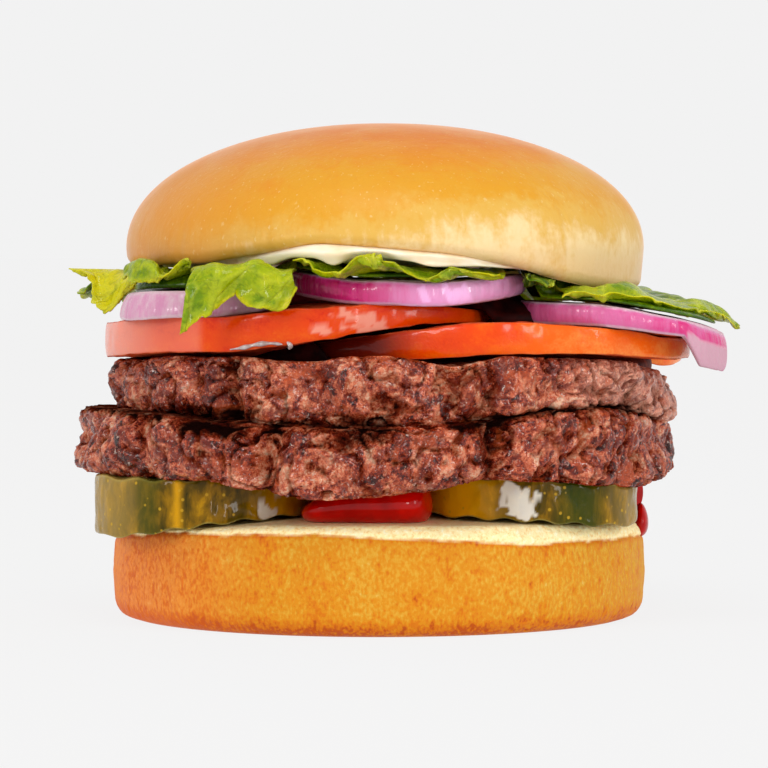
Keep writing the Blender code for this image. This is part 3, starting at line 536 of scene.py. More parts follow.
def seam_over(x, y):
    """The underside of the upper patty."""
    return patty_face(SEAM, SEAM_MIDDLE, LOWER_CENTRE, LOWER_RADIUS, 0.0, x, y) - MEET


def upper_top(x, y):
    """The top of the upper patty."""
    return patty_face(UPPER_TOP, UPPER_MIDDLE, UPPER_CENTRE, UPPER_RADIUS, 0.0, x, y)


def shown(red, green, blue):
    """A colour given in display values from 0 to 255, as linear red, green and blue."""
    share = np.array([red, green, blue]) / 255
    return np.where(share <= 0.04045, share / 12.92, ((share + 0.055) / 1.055) ** 2.4)


def paint(red, green, blue):
    """The surface colour that shows as these display values in the studio's light."""
    return (*(shown(red, green, blue) * STUDIO_SHARE).tolist(), 1.0)


def plain(red, green, blue):
    """The same display values as a surface colour of a shaded place, where less light falls."""
    return (*shown(red, green, blue).tolist(), 1.0)


class Finish:
    """One procedural material: a Principled shader and the nodes that feed it."""

    SOCKETS = {"soft": "Subsurface Weight", "depth": "Subsurface Radius", "gloss": "Specular IOR Level",
               "coat": "Coat Weight", "coat_rough": "Coat Roughness", "rough": "Roughness",
               "clear": "Transmission Weight", "colour": "Base Color", "relief": "Normal"}

    def __init__(self, name, **fixed):
        """A new material with these sockets set to numbers or colours."""
        self.made = bpy.data.materials.new(name)
        self.made.use_nodes = True
        self.tree = self.made.node_tree
        self.shader = self.tree.nodes["Principled BSDF"]
        self.shader.inputs["Subsurface Scale"].default_value = 1.0
        for key, value in fixed.items():
            self.shader.inputs[self.SOCKETS[key]].default_value = value
        self.place = self.add("TexCoord").outputs["Object"]
        self.normal = None

    def add(self, kind, inputs=None, **settings):
        """A node with its settings, and its inputs set to numbers or joined to other nodes."""
        node = self.tree.nodes.new("ShaderNode" + kind)
        for key, value in settings.items():
            setattr(node, key, value)
        for key, value in (inputs or {}).items():
            if isinstance(value, bpy.types.NodeSocket):
                self.tree.links.new(value, node.inputs[key])
            else:
                node.inputs[key].default_value = value
        return node

    def mark(self, name):
        """The number that the mesh keeps at each point under this name."""
        return self.add("Attribute", attribute_name=name).outputs["Fac"]

    def stretched(self, x, y, z):
        """Object coordinates drawn out along the axes by these factors."""
        return self.add("Mapping", {"Vector": self.place, "Scale": (1 / x, 1 / y, 1 / z)}).outputs["Vector"]

    def noise(self, size, detail=3.0, rough=0.55, place=None, warp=0.0):
        """Cloudy noise with features of about size millimetres."""
        return self.add("TexNoise", {"Vector": place or self.place, "Scale": 1 / (size * MM),
                                     "Detail": detail, "Roughness": rough,
                                     "Distortion": warp}).outputs["Fac"]

    def dots(self, size, place=None):
        """Distance from scattered points about size millimetres apart."""
        inputs = {"Vector": place or self.place, "Scale": 1 / (size * MM)}
        return self.add("TexVoronoi", inputs).outputs["Distance"]

    def span(self, value, low, high, start=0.0, end=1.0):
        """The value's range from low to high, taken smoothly to start and end."""
        inputs = {"Value": value, "From Min": low, "From Max": high, "To Min": start, "To Max": end}
        return self.add("MapRange", inputs, interpolation_type="SMOOTHSTEP").outputs["Result"]

    def sum(self, first, second, share=1.0):
        """The first value and a share of the second."""
        return self.add("Math", {0: second, 1: share, 2: first}, operation="MULTIPLY_ADD").outputs[0]

    def times(self, first, second):
        """The product of two values."""
        return self.add("Math", {0: first, 1: second}, operation="MULTIPLY").outputs[0]

    def ramp(self, value, kind, *stops):
        """A colour for the value: each stop is its place and display values of that kind, or a colour."""
        node = self.add("ValToRGB", {"Fac": value})
        band = node.color_ramp
        band.interpolation = "EASE"
        stops = [(place, kind(*rgb) if len(rgb) == 3 else rgb[0]) for place, *rgb in stops]
        band.elements[0].position, band.elements[0].color = stops[0]
        band.elements[1].position, band.elements[1].color = stops[-1]
        for place, colour in stops[1:-1]:
            band.elements.new(place).color = colour
        return node.outputs["Color"]

    def over(self, factor, under, top):
        """The top colour laid over the one under it by the factor."""
        return self.add("Mix", {0: factor, 6: under, 7: top}, data_type="RGBA").outputs[2]

    def drive(self, key, value):
        """The value joined to a socket of the shader."""
        self.tree.links.new(value, self.shader.inputs[self.SOCKETS[key]])

    def bump(self, height, depth):
        """Relief of the height times depth millimetres, on top of the relief so far."""
        inputs = {"Height": height, "Distance": depth * MM, "Strength": 1.0}
        if self.normal:
            inputs["Normal"] = self.normal
        self.normal = self.add("Bump", inputs).outputs["Normal"]

    def done(self, colour, roughness=None):
        """Join the colour, roughness and relief to the shader."""
        for key, value in (("colour", colour), ("rough", roughness), ("relief", self.normal)):
            if value:
                self.drive(key, value)
        return self.made


def upper_crust_look():
    """Baked crust: deep gold where the mark bake is high, pale on the skirt, with a soft egg-wash sheen and
    a painted pale sheen where it is seen edge-on.
    """
    f = Finish("upper_crust", soft=0.05, depth=(0.004, 0.002, 0.001), gloss=0.2, coat=0.1, coat_rough=0.3)
    cloud = f.noise(14.0, 4.0, 0.6)
    fine = f.noise(1.1, 4.0, 0.6)
    streak = f.noise(2.2, 3.0, 0.6, f.stretched(1, 1, 3.5), 0.6)
    bake = f.sum(f.sum(f.sum(f.mark("bake"), cloud, 0.34), streak, 0.16), fine, 0.10)
    gold = f.ramp(bake, paint, (0.28, plain(230, 202, 148)), (0.42, 238, 186, 82), (0.56, 236, 166, 30),
                  (0.72, 238, 150, 8), (0.90, 236, 130, 0), (1.0, 214, 100, 4))
    blush = f.over(f.times(f.mark("blush"), 0.75), gold, paint(230, 142, 62))
    fleck = f.span(f.noise(0.7, 2.0, 0.5, f.stretched(1, 1, 2.0)), 0.64, 0.76, 0.0, 0.4)
    colour = f.over(fleck, blush, paint(248, 222, 160))
    # Painted sheen: pale pink laid over the crust where it is seen edge-on, standing in for reflection.
    edge = f.add("LayerWeight", {"Blend": 0.3}).outputs["Facing"]
    colour = f.over(f.span(edge, 0.6, 0.97, 0.0, 0.7), colour, plain(246, 186, 146))
    f.bump(fine, 0.10)
    f.bump(f.noise(0.45, 2.0), 0.03)
    f.bump(streak, 0.12)
    return f.done(colour, f.span(cloud, 0.3, 0.7, 0.36, 0.5))


def lower_crust_look():
    """Golden crust full of fine pores, painted darker as shade, passing into cream crumb where the mark
    crumb is high.
    """
    f = Finish("lower_crust", soft=0.05, depth=(0.004, 0.002, 0.001), gloss=0.15)
    cloud = f.noise(9.0, 4.0, 0.6)
    grain = f.noise(0.62, 2.0, 0.5, f.stretched(1, 1, 1.5))
    pit = f.mark("pit")
    # Painted shade: the pores (mark pit) add to the bake, so they show darker.
    bake = f.sum(f.sum(f.sum(f.mark("bake"), cloud, 0.34), grain, 0.70), pit, 0.16)
    gold = f.ramp(bake, paint, (0.36, 244, 208, 116), (0.52, 240, 176, 52), (0.68, 238, 152, 22),
                  (0.84, 234, 128, 10), (1.0, 208, 88, 10))
    pink = f.ramp(bake, plain, (0.42, 250, 170, 110), (0.62, 242, 136, 64), (0.85, 222, 100, 34))
    blush = f.over(f.times(f.mark("blush"), 0.8), gold, pink)
    cream = f.ramp(f.noise(0.8, 4.0, 0.7), plain, (0.3, 244, 200, 130), (0.5, 255, 234, 174),
                   (0.7, 255, 248, 214))
    colour = f.over(f.mark("crumb"), blush, cream)
    f.bump(grain, 0.22)
    f.bump(f.noise(0.4, 3.0, 0.6), 0.10)
    return f.done(colour, f.span(grain, 0.3, 0.7, 0.7, 0.5))


def beef_look():
    """Minced beef: a tone for each grain of meat, painted near black as shade in the creases, painted with
    small pale sparkles, and with a wet layer of fat.
    """
    f = Finish("cooked_beef", soft=0.04, depth=(0.003, 0.001, 0.001), coat_rough=0.14)
    cloud = f.noise(9.0, 3.0, 0.6)
    fine = f.noise(0.6, 4.0, 0.75, None, 1.0)
    tone = f.sum(f.sum(f.times(f.mark("tone"), 0.36), cloud, 0.44), fine, 0.72)
    meat = f.ramp(tone, paint, (0.56, 46, 6, 0), (0.67, 136, 36, 14), (0.75, 206, 86, 50),
                  (0.84, 246, 142, 100), (0.96, 255, 204, 168))
    grease = f.ramp(fine, plain, (0.36, 190, 112, 88), (0.5, 236, 158, 130), (0.66, 250, 196, 168))
    meat = f.over(f.mark("tan"), meat, grease)
    fat = f.span(f.noise(1.2, 3.0, 0.6, None, 1.5), 0.58, 0.68, 0.0, 0.6)
    meat = f.over(fat, meat, paint(226, 156, 130))
    sear = f.span(f.noise(4.0, 4.0, 0.6, None, 1.0), 0.50, 0.64, 0.0, 0.75)
    meat = f.over(sear, meat, paint(122, 30, 10))
    rust = f.span(f.noise(6.0, 3.0, 0.6, None, 0.8), 0.54, 0.70, 0.0, 0.6)
    meat = f.over(rust, meat, paint(214, 90, 38))
    # Painted shade: near black where the mark deep is high, in the creases, pores and clefts and where the
    # patties meet.
    colour = f.over(f.mark("deep"), meat, paint(24, 7, 5))
    # Painted highlights: small pale sparkles scattered over the meat, left out of the painted shade.
    glint = f.span(f.noise(0.62, 2.0, 0.5, None, 0.9), 0.62, 0.72, 0.0, 0.75)
    colour = f.over(f.times(glint, f.span(f.mark("deep"), 0.0, 0.4, 1.0, 0.0)), colour, paint(244, 216, 200))
    f.drive("coat", f.span(f.sum(f.mark("deep"), f.mark("flat")), 0.0, 0.5, 0.5, 0.0))
    f.drive("gloss", f.span(f.sum(f.mark("deep"), f.mark("flat")), 0.0, 0.5, 0.12, 0.0))
    f.bump(fine, 0.36)
    f.bump(f.noise(0.4, 2.0), 0.28)
    return f.done(colour, f.span(fine, 0.35, 0.65, 0.4, 0.2))


def juices_look():
    """Painted shade for the dark pads between the layers: very dark red, browner by the mark meaty, hardly
    glossy.
    """
    f = Finish("painted_shade_pads", gloss=0.1, rough=0.6)
    dark = f.ramp(f.noise(3.0), paint, (0.35, 30, 2, 2), (0.7, 66, 8, 4))
    brown = f.ramp(f.noise(1.5), paint, (0.35, 86, 22, 10), (0.7, 150, 62, 40))
    return f.done(f.over(f.mark("meaty"), dark, brown))


def tomato_look():
    """Tomato: shiny orange-red skin on the rim, duller wet flesh on the cut faces."""
    f = Finish("tomato_slice", soft=0.12, depth=(0.006, 0.0015, 0.0008), coat_rough=0.07)
    f.drive("coat", f.span(f.mark("cut"), 0.0, 0.8, 0.25, 0.0))
    f.drive("gloss", f.span(f.mark("cut"), 0.0, 0.8, 0.1, 0.0))
    cloud = f.noise(4.0, 4.0, 0.65, f.stretched(1.6, 1.6, 1))
    grain = f.noise(0.5, 2.0)
    ripe = f.sum(f.sum(f.times(cloud, 0.6), f.mark("warm"), 0.5), grain, 0.16)
    skin = f.ramp(ripe, plain, (0.25, 206, 28, 0), (0.45, 226, 66, 0), (0.65, 232, 92, 0),
                  (0.9, 236, 138, 60))
    # Painted reflection where the mark pale is high, and painted shade where the mark shade is high.
    skin = f.over(f.mark("pale"), skin, plain(240, 172, 150))
    skin = f.over(f.mark("shade"), skin, plain(78, 4, 4))
    flesh = f.ramp(f.noise(2.4, 4.0, 0.6, None, 1.0), paint, (0.3, 208, 58, 26), (0.6, 230, 98, 56),
                   (0.8, 240, 150, 104))
    colour = f.over(f.mark("cut"), skin, flesh)
    f.bump(grain, 0.05)
    f.bump(f.times(f.noise(1.1, 4.0, 0.6), f.mark("cut")), 0.5)
    return f.done(colour, f.span(f.mark("cut"), 0.0, 1.0, 0.2, 0.34))


def wet_look():
    """Clear juice: pale grey pink, with the sharpest gloss of all."""
    f = Finish("clear_juice", gloss=0.5, coat=1.0, coat_rough=0.03, rough=0.15, clear=0.4)
    return f.done(f.ramp(f.noise(1.0), paint, (0.35, 214, 190, 184), (0.65, 244, 238, 236)))


def onion_look():
    """Red onion: purple skin with upright fibres on the rim, and pale flesh with purple rings across it."""
    f = Finish("onion_slice", soft=0.15, depth=(0.004, 0.002, 0.003), coat_rough=0.08)
    f.drive("coat", f.span(f.mark("cut"), 0.0, 0.8, 0.4, 0.0))
    f.drive("gloss", f.span(f.mark("cut"), 0.0, 0.8, 0.22, 0.0))
    fibre = f.noise(0.9, 3.0, 0.7, f.stretched(1, 1, 9.0))
    depth = f.sum(f.sum(f.mark("purple"), fibre, 0.34), f.noise(6.0), 0.2)
    skin = f.ramp(depth, plain, (0.22, paint(234, 200, 210)), (0.45, paint(222, 146, 184)),
                  (0.66, 206, 96, 148), (0.85, 204, 38, 116), (1.0, 178, 22, 84))
    # Painted light: the middle slice is lighter towards its right, where it lies in shade, and has painted
    # upright streaks of reflection.
    skin = f.over(f.mark("bright"), skin, plain(255, 190, 240))
    flesh = f.ramp(f.mark("ring"), paint, (0.0, 206, 130, 170), (0.25, 226, 178, 192), (0.6, 236, 202, 210))
    colour = f.over(f.mark("cut"), skin, flesh)
    f.bump(fibre, 0.10)
    f.bump(f.noise(0.6, 3.0), 0.05)
    return f.done(colour, f.span(fibre, 0.3, 0.7, 0.22, 0.36))


def pickle_look():
    """Pickle: dark olive skin with yellow streaks and milky patches, wet all over, with pale ends, pale
    highlights and lighter inner parts painted as light.
    """
    f = Finish("pickle_chip", soft=0.10, depth=(0.004, 0.004, 0.001), gloss=0.05, coat=0.2, coat_rough=0.03)
    streak = f.noise(3.0, 4.0, 0.6, f.stretched(1, 1, 2.4), 0.3)
    skin = f.ramp(streak, paint, (0.30, 50, 46, 0), (0.45, 94, 72, 0), (0.58, 144, 104, 0),
                  (0.72, 200, 146, 2))
    flesh = f.ramp(f.noise(2.0, 3.0), paint, (0.3, 132, 120, 40), (0.7, 176, 160, 86))
    # Painted light: the inner parts of the front chips, which curve back into shade, are lighter
    # yellow-brown; a narrow band on the left one is a real yellow streak.
    skin = f.over(f.mark("amber"), skin, plain(255, 184, 8))
    # Milky patches, and the ends of the chips painted pale as reflection where the skin turns away.
    milk = f.times(f.mark("milk"), 0.6)
    colour = f.over(milk, f.over(f.mark("cut"), skin, flesh), paint(190, 156, 78))
    colour = f.over(f.mark("green"), colour, paint(56, 70, 0))
    bubble = f.span(f.dots(2.0), 0.10, 0.2, 0.7, 0.0)
    colour = f.over(bubble, colour, paint(220, 172, 40))
    # Painted highlight: pale patches standing in for the reflection of a strip lamp.
    colour = f.over(f.mark("glare"), colour, plain(234, 228, 214))
    f.bump(streak, 0.20)
    f.bump(f.noise(0.9, 3.0), 0.08)
    return f.done(colour, f.span(streak, 0.3, 0.7, 0.18, 0.3))


def lettuce_look():
    """Lettuce: green between pale veins, yellow by the mark tint, with wet blisters and painted shade in the
    hollows of its creases.
    """
    f = Finish("lettuce_leaf", soft=0.18, depth=(0.003, 0.004, 0.0005), gloss=0.06, coat=0.3,
               coat_rough=0.06)
    cloud = f.noise(7.0, 3.0, 0.6)
    fine = f.noise(0.8, 3.0, 0.6)
    tint = f.sum(f.sum(f.times(f.mark("tint"), 0.9), cloud, 0.72), fine, 0.2)
    blade = f.ramp(tint, paint, (0.44, 60, 98, 0), (0.60, 118, 150, 0), (0.74, 164, 180, 0),
                   (0.92, 206, 204, 0), (1.0, 226, 216, 20))
    colour = f.over(f.times(f.mark("vein"), 0.6), blade, paint(214, 220, 60))
    crease = f.noise(2.0, 3.0, 0.5, None, 1.2)
    # Painted shade: darker green in the hollows of the crease relief.
    colour = f.over(f.span(crease, 0.30, 0.48, 0.35, 0.0), colour, paint(70, 104, 0))
    f.bump(fine, 0.10)
    f.bump(crease, 0.8)
    return f.done(colour, f.span(fine, 0.3, 0.7, 0.26, 0.4))


def ketchup_look():
    """Ketchup: deep wet red with faint cloudiness."""
    f = Finish("ketchup_pool", soft=0.05, depth=(0.003, 0.0005, 0.0005), gloss=0.05, coat=0.35,
               coat_rough=0.03, rough=0.25)
    cloud = f.noise(6.0, 3.0)
    colour = f.ramp(cloud, paint, (0.3, 170, 0, 0), (0.7, 216, 6, 0))
    f.bump(f.noise(5.0, 2.0), 0.3)
    return f.done(colour)


def mayonnaise_look():
    """Mayonnaise: smooth cream with a soft sheen."""
    f = Finish("mayonnaise_spread", soft=0.35, depth=(0.004, 0.003, 0.002), coat=0.3, coat_rough=0.15,
               rough=0.35)
    cloud = f.noise(5.0, 3.0, 0.5, f.stretched(2.0, 2.0, 1.0))
    colour = f.ramp(cloud, plain, (0.3, 242, 208, 164), (0.6, 252, 234, 206))
    f.bump(cloud, 0.4)
    return f.done(colour)


def on_circle(r, a, cx=0.0, cy=0.0):
    """x and y of points at a distance and direction from an upright axis."""
    return cx + r * np.cos(np.radians(a)), cy + r * np.sin(np.radians(a))


def between(low, high, share):
    """Heights between two faces, for shares from -1 at the low one to 1 at the high one."""
    return (low + high) / 2 + (high - low) / 2 * share


def turns(count):
    """Evenly spaced directions round a circle, in degrees."""
    return np.arange(count) * 360.0 / count


def lower_bun(look):
    """Rings up the crust and in over the cut face, pitted with pores that are deepest on the crust."""
    a = turns(760)
    crust, rim = at(around(BASE_CRUST), a), at(around(BASE_RIM), a)
    ragged = 0.35 * drift(*on_circle(50, a), 0, 6.0, 31) + 0.25 * drift(*on_circle(50, a), 0, 1.6, 32)
    foot = [(12.0, 0.0), (30.0, 0.0), (42.0, 0.0), (46.0, 0.0), (BASE_FOOT, 0.0)]
    upright = [(BASE_FOOT, 0.0), (49.5, 0.7), (50.6, 2.2), (51.0, 4.5), (BASE_RADIUS, BASE_WIDEST)]
    rings = [(r + 0 * a, z + 0 * a) for r, z in [*foot, *smooth_line(upright, 24)[1:]]]
    for share in np.linspace(0.06, 1.0, 22):
        rings.append((BASE_RADIUS - BASE_LEAN * share + 0 * a, BASE_WIDEST + (crust - BASE_WIDEST) * share))
    for turn in np.linspace(0.1, 1.0, 10) * np.pi / 2:
        out = BASE_RADIUS - BASE_LEAN - (BASE_RADIUS - BASE_LEAN - BASE_FACE) * (1 - np.cos(turn))
        rings.append((out + 0 * a, crust + (rim - crust) * np.sin(turn)))
    for share in (0.985, 0.96, 0.93, 0.88, 0.8, 0.7, 0.5, 0.25):
        r = BASE_FACE * share + 0 * a
        rings.append((r, base_face(*on_circle(r, a))))
    r, z = np.array(rings).transpose(1, 0, 2)
    x, y = on_circle(r, a)
    outer = step_up(r, 44.0, 47.0) * step_up(z, 0.0, 0.8)
    first, second, _ = pebbles(x, y, z * 0.7, 1.1, 41)
    wide = pebbles(x, y, z * 0.8, 3.1, 44)[0]
    fine = drift(x, y, 0.6 * z, 0.9, 47)
    coarse = drift(x, y, 0.8 * z, 1.9, 48)
    hole = step_up(fine + 0.6 * coarse, 0.35, 1.0)
    crumb = step_up(z - crust - ragged, -0.15, 0.3)
    swell = 0.25 * drift(x, y, z, 14.0, 46) - 0.25
    low = step_up(4.5 - z, 0.0, 4.0)
    depth = outer * (0.3 * hole * (0.5 + 0.8 * low) + 0.12 * step_up(wide, 0.5, 0.9) - 0.10 * fine - swell)
    depth = depth + outer * 0.25 * crumb * step_up(second - first, 0.35, 0.0)
    lip = 0.35 * np.exp(-((z - crust - ragged) / 0.35) ** 2) * outer
    r = r - depth - lip
    x, y = on_circle(r, a)
    bake = 0.175 + 0.30 * low + 0.16 * step_up(z - crust, -1.2, 0.0) * (1 - crumb)
    pale = step_up(np.cos(np.radians(a + 50)), 0.2, 1.0)
    closed_rings("bun_base", "bun", (x, y, z), look, bake=bake - 0.08 * pale, pit=hole, crumb=crumb,
                 blush=step_up(-np.cos(np.radians(a)), 0.35, 1.0) * (1 - crumb))


def dome_radius(z):
    """Radius of the upper bun at a height: a superellipse above its widest, a little less below it."""
    up = np.clip((z - TOP_WIDEST) / (TOP_HEIGHT - TOP_WIDEST), 0, 1)
    down = np.clip((TOP_WIDEST - z) / 7.0, 0, 1)
    return TOP_RADIUS * (1 - up**TOP_POWER) ** (1 / TOP_POWER) - 0.6 * down


def upper_bun(look):
    """Rings out under the bun, round its turned edge and up the dome, with faint dents and wrinkles."""
    a = turns(420)
    rim = at(around(TOP_RIM), a)
    rings = []
    for share in (0.1, 0.3, 0.5, 0.65, 0.78, 0.88, 0.94, 0.98, 1.0):
        r = (TOP_RADIUS - TOP_TUCK) * share + 0 * a
        rings.append((r, ceiling(*on_circle(r, a, TOP_CENTRE))))
    for turn in np.radians(np.linspace(8, 90, 12)):
        z = rim + TOP_TUCK * (1 - np.cos(turn))
        rings.append((dome_radius(z) - TOP_TUCK * (1 - np.sin(turn)), z))
    start = rim + TOP_TUCK
    for turn in np.radians([*np.linspace(1.5, 60, 70), *np.linspace(61, 89.3, 50)]):
        z = start + (TOP_HEIGHT - start) * np.sin(turn)
        rings.append((dome_radius(z), z))
    r, z = np.array(rings).transpose(1, 0, 2)
    x, y = on_circle(r, a, TOP_CENTRE)
    outer = step_up(r, 8.0, 30.0)
    skirt = step_up(84.0 - z, 0.0, 14.0)
    swell = 0.25 * (1 - drift(x, y, z, 26.0, 51))
    wrinkle = step_up(drift(np.radians(a) * 50, z * 0.22, 0, 1.5, 52), 0.35, 0.9)
    wrinkle = wrinkle * step_up(drift(x, y, z, 11.0, 53), 0.1, 0.6) * skirt
    r = r - outer * (swell + 0.28 * wrinkle)
    x, y = on_circle(r, a, TOP_CENTRE)
    height = (z - TOP_FOOT) / (TOP_HEIGHT - TOP_FOOT)
    right = np.cos(np.radians(a))
    bake = 0.30 * step_up(height - 0.07 * right, 0.0, 0.6) + 0.23 * step_up(height, 0.62, 0.92)
    bake = bake - 0.10 * np.exp(-(((x - 19.0) / 15.0) ** 2) - ((z - 76.0) / 6.0) ** 2) * step_up(-y, 20, 40)
    bake = bake + 0.08 * step_up(-right, 0.2, 0.9) * step_up(0.4 - height, 0.0, 0.3)
    blush = step_up(-right, 0.25, 1.0) * 0.8 + 0.3 * step_up(0.25 - height, 0.0, 0.25)
    closed_rings("bun_top", "bun", (x, y, z), look, bake=bake, blush=np.clip(blush, 0, 1))


def patty(node, centre, radius, under, over, clefts, seed, seam_side, look):
    """A slab of minced beef: the solid's lumps and clefts, then curled strands and small grains, with
    painted shade in the creases.

    The strands are level lines of a smooth noise, so they run in loops, and the grains are scattered points.
    seam_side is 1 where the other patty lies above, and -1 where it lies below.
    """
    whole, cut, height = rim_profile((0.12, 0.3, 0.5, 0.65, 0.78, 0.87, 0.93, 0.97), 60, PATTY_POWER)
    a = turns(940)
    r = whole * radius - cut * PATTY_EDGE + 0 * a
    x, y = on_circle(r, a, centre)
    z = between(under(x, y), over(x, y), height)
    side = np.minimum(r / radius, 1) ** 4
    lump = LUMP_DEPTH * np.clip(pebbles(x, y, z, LUMP_SIZE, seed)[0], 0, 1) ** 1.5
    for where, deep, half in clefts:
        off = (a - where + 180) % 360 - 180
        lump = lump + deep * np.exp(-((off / half) ** 2)) * side
    wx, wy, wz = (v + 1.5 * drift(x, y, z, 3.0, seed + 60 + k) for k, v in enumerate((x, y, z)))
    loops = np.cos(2 * np.pi * 1.6 * drift(wx, wy, wz, 6.0, seed + 7))
    first, second, tone = pebbles(wx, wy, wz, 2.3, seed + 17)
    small, _, grain = pebbles(wx, wy, wz, 0.95, seed + 27)
    furrow = step_up(-loops, 0.45, 1.0)
    crack = step_up(0.14 - (second - first), 0.0, 0.14)
    pore = step_up(drift(wx, wy, wz, 0.9, seed + 37), 0.4, 0.8)
    bulge = drift(x, y, z, 6.5, seed + 47)
    crumbly = drift(x, y, z, 0.62, seed + 48)
    relief = 0.7 * furrow + 0.5 * first**2 + 0.25 * crack + 0.36 * small**2 + 0.3 * pore
    relief = relief - 1.0 * bulge - 0.10 * crumbly - 0.7
    r = r - (lump + relief) * side
    z = z - (LUMP_SINK * lump + 0.45 * relief) * height * side
    x, y = on_circle(r, a, centre)
    # Painted shade: near black where the two patties meet, wider at two places on the front.
    seam = step_up(height * seam_side, 0.74, 0.98) * step_up(drift(x, y, 0, 9.0, 57), -0.7, 0.2)
    gap = np.exp(-(((x + 30.0) / 8.0) ** 4)) + np.exp(-(((x + 2.5) / 6.0) ** 4))
    seam = np.maximum(seam, gap * step_up(height * seam_side, 0.45, 0.75) * step_up(-y, 20.0, 40.0))
    # Painted shade: the lower patty's tone is darker all over, and the upper patty's darker towards its
    # left.
    shade = np.where(seam_side > 0, 0.10, 0.16 * step_up(-x, 22.0, 44.0))
    # The upper patty is paler towards its front right end.
    tan = (0.4 - 0.4 * seam_side) * step_up(x, 30.0, 46.0) * step_up(18.0 - y, 0.0, 24.0)
    # Painted shade: the mark deep is near black in the furrows, cracks, pores, deep hollows and where the
    # patties meet.
    deep = 0.5 * furrow + 0.35 * crack * first + 0.5 * pore + 0.5 * step_up(lump, 2.2, 5.5) + 0.9 * seam
    closed_rings(node, "beef", (x, y, z), look, tone=0.6 * tone + 0.4 * grain - shade,
                 deep=np.clip(deep - 0.12, 0, 1), tan=tan, flat=step_up(np.abs(height), 0.9, 1.0))


def pickle_bed(x, y):
    """Where the underside of a pickle lies: on the lower bun, bending down past its rim."""
    r, _ = polar(x, y)
    return base_face(x, y) + CLEAR - PICKLE_BEND * np.clip(r - PICKLE_BEND_FROM, 0, 20) ** 2


def pickle(node, centre_x, centre_y, radius, look):
    """A round chip: rings round its rounded rim, lifted by a wave across x on both cut faces."""
    whole, cut, height = rim_profile((0.12, 0.3, 0.5, 0.68, 0.8, 0.9, 0.96), 26, 3.4)
    a = turns(480)
    r = whole * radius - cut * 0.8 + 0 * a
    x, y = on_circle(r, a, centre_x, centre_y)
    wave = PICKLE_RIPPLE * np.sin(2 * np.pi * (x - centre_x) / PICKLE_WAVE)
    low = pickle_bed(x, y) + PICKLE_RIPPLE + wave
    high = lower_under(x, y) + MEET - PICKLE_RIPPLE + wave
    z = low + (high - low) * (height + 1) / 2
    dent = 0.35 * (1 + drift(x, y, z, 4.0, 71)) * (1 - np.abs(height)) + 0.12 * drift(x, y, z, 1.4, 72)
    r = r - dent * step_up(whole, 0.9, 1.0)
    x, y = on_circle(r, a, centre_x, centre_y)
    # Painted reflection: the ends of the chips, where the skin turns away, are made milky pale; milky
    # patches lie elsewhere too.
    ends = step_up(np.abs(x), 39.0, 50.0)
    milk = np.maximum(ends, step_up(drift(x, y, 0.4 * z, 7.0, 74), 0.3, 0.8))
    # Painted light: the inner parts of the chips, which curve back into shade, are made lighter
    # yellow-brown; the narrow band near x = -36.8 is a yellow streak.
    amber = 0.8 * step_up(26 - np.abs(x), 0.0, 12.0) + 0.5 * np.exp(-(((x + 36.8) / 0.9) ** 2))
    green = 0.75 * np.exp(-(((x - 37.0) / 4.5) ** 4)) + 0.6 * np.exp(-(((x + 42.3) / 2.2) ** 4))
    # Painted highlight: ragged pale patches across the front of each chip, standing in for the reflection of
    # a strip lamp.
    wet = drift(x, 0, z, 2.6, 75) + 0.4 * drift(x, 0, z, 0.9, 76)
    wet = np.where(x > 0, wet - 3.0 * ((x - 25.6) / 6.4) ** 4 + 0.15,
                   wet - 2.0 * ((x + 20.0) / 3.2) ** 4 + 0.5)
    glare = 0.85 * step_up(wet - 1.2 * np.abs(height) ** 3, 0.0, 0.22) * step_up(-y, 20, 34)
    closed_rings(node, "pickle", (x, y, z), look, milk=milk, green=green,
                 amber=amber * (0.35 + 0.65 * step_up(-y, 0, 20)), glare=glare,
                 cut=step_up(np.abs(height), 0.9, 0.995))


def ketchup(look):
    """A pool between the buns and beef, as far out as its reach, held clear of the pickles."""
    whole, cut, height = rim_profile((0.12, 0.3, 0.5, 0.7, 0.85, 0.95), 30, 2.0)
    a = turns(360)
    reach = at(around(KETCHUP_REACH), a)
    for _, px, py, pr in PICKLES:
        across, ahead = on_circle(1.0, a)
        along = px * across + py * ahead
        off = px * ahead - py * across
        hit = along - np.sqrt(np.clip((pr + KETCHUP_CLEAR) ** 2 - off**2, 0, None))
        reach = np.where((np.abs(off) < pr + KETCHUP_CLEAR) & (along > 0), np.minimum(reach, hit), reach)
    r = whole * reach - cut * KETCHUP_EDGE
    x, y = on_circle(r, a)
    low = base_face(x, y) - MEET
    fill = 1 - (1 - at(around(KETCHUP_FILL, 3.0), a)) * whole**3
    high = low + (lower_under(x, y) + MEET - low) * fill
    z = between(low, high, height)
    r = r + 0.5 * drift(x, y, z, 6.0, 81) * step_up(whole, 0.8, 1.0)
    x, y = on_circle(r, a)
    closed_rings("ketchup", "ketchup", (x, y, z), look)


def ketchup_drip(look):
    """A drop: an egg shape, wider below than above."""
    tilt = np.radians(np.linspace(-84, 84, 24))[:, None]
    wide = (1 - 0.18 * np.sin(tilt)) * np.cos(tilt)
    east, north = on_circle(wide, turns(48))
    (cx, cy, cz), (hx, hy, hz) = DRIP_CENTRE, DRIP_HALF
    closed_rings("ketchup_drip", "ketchup", (cx + hx * east, cy + hy * north, cz + hz * np.sin(tilt)), look)


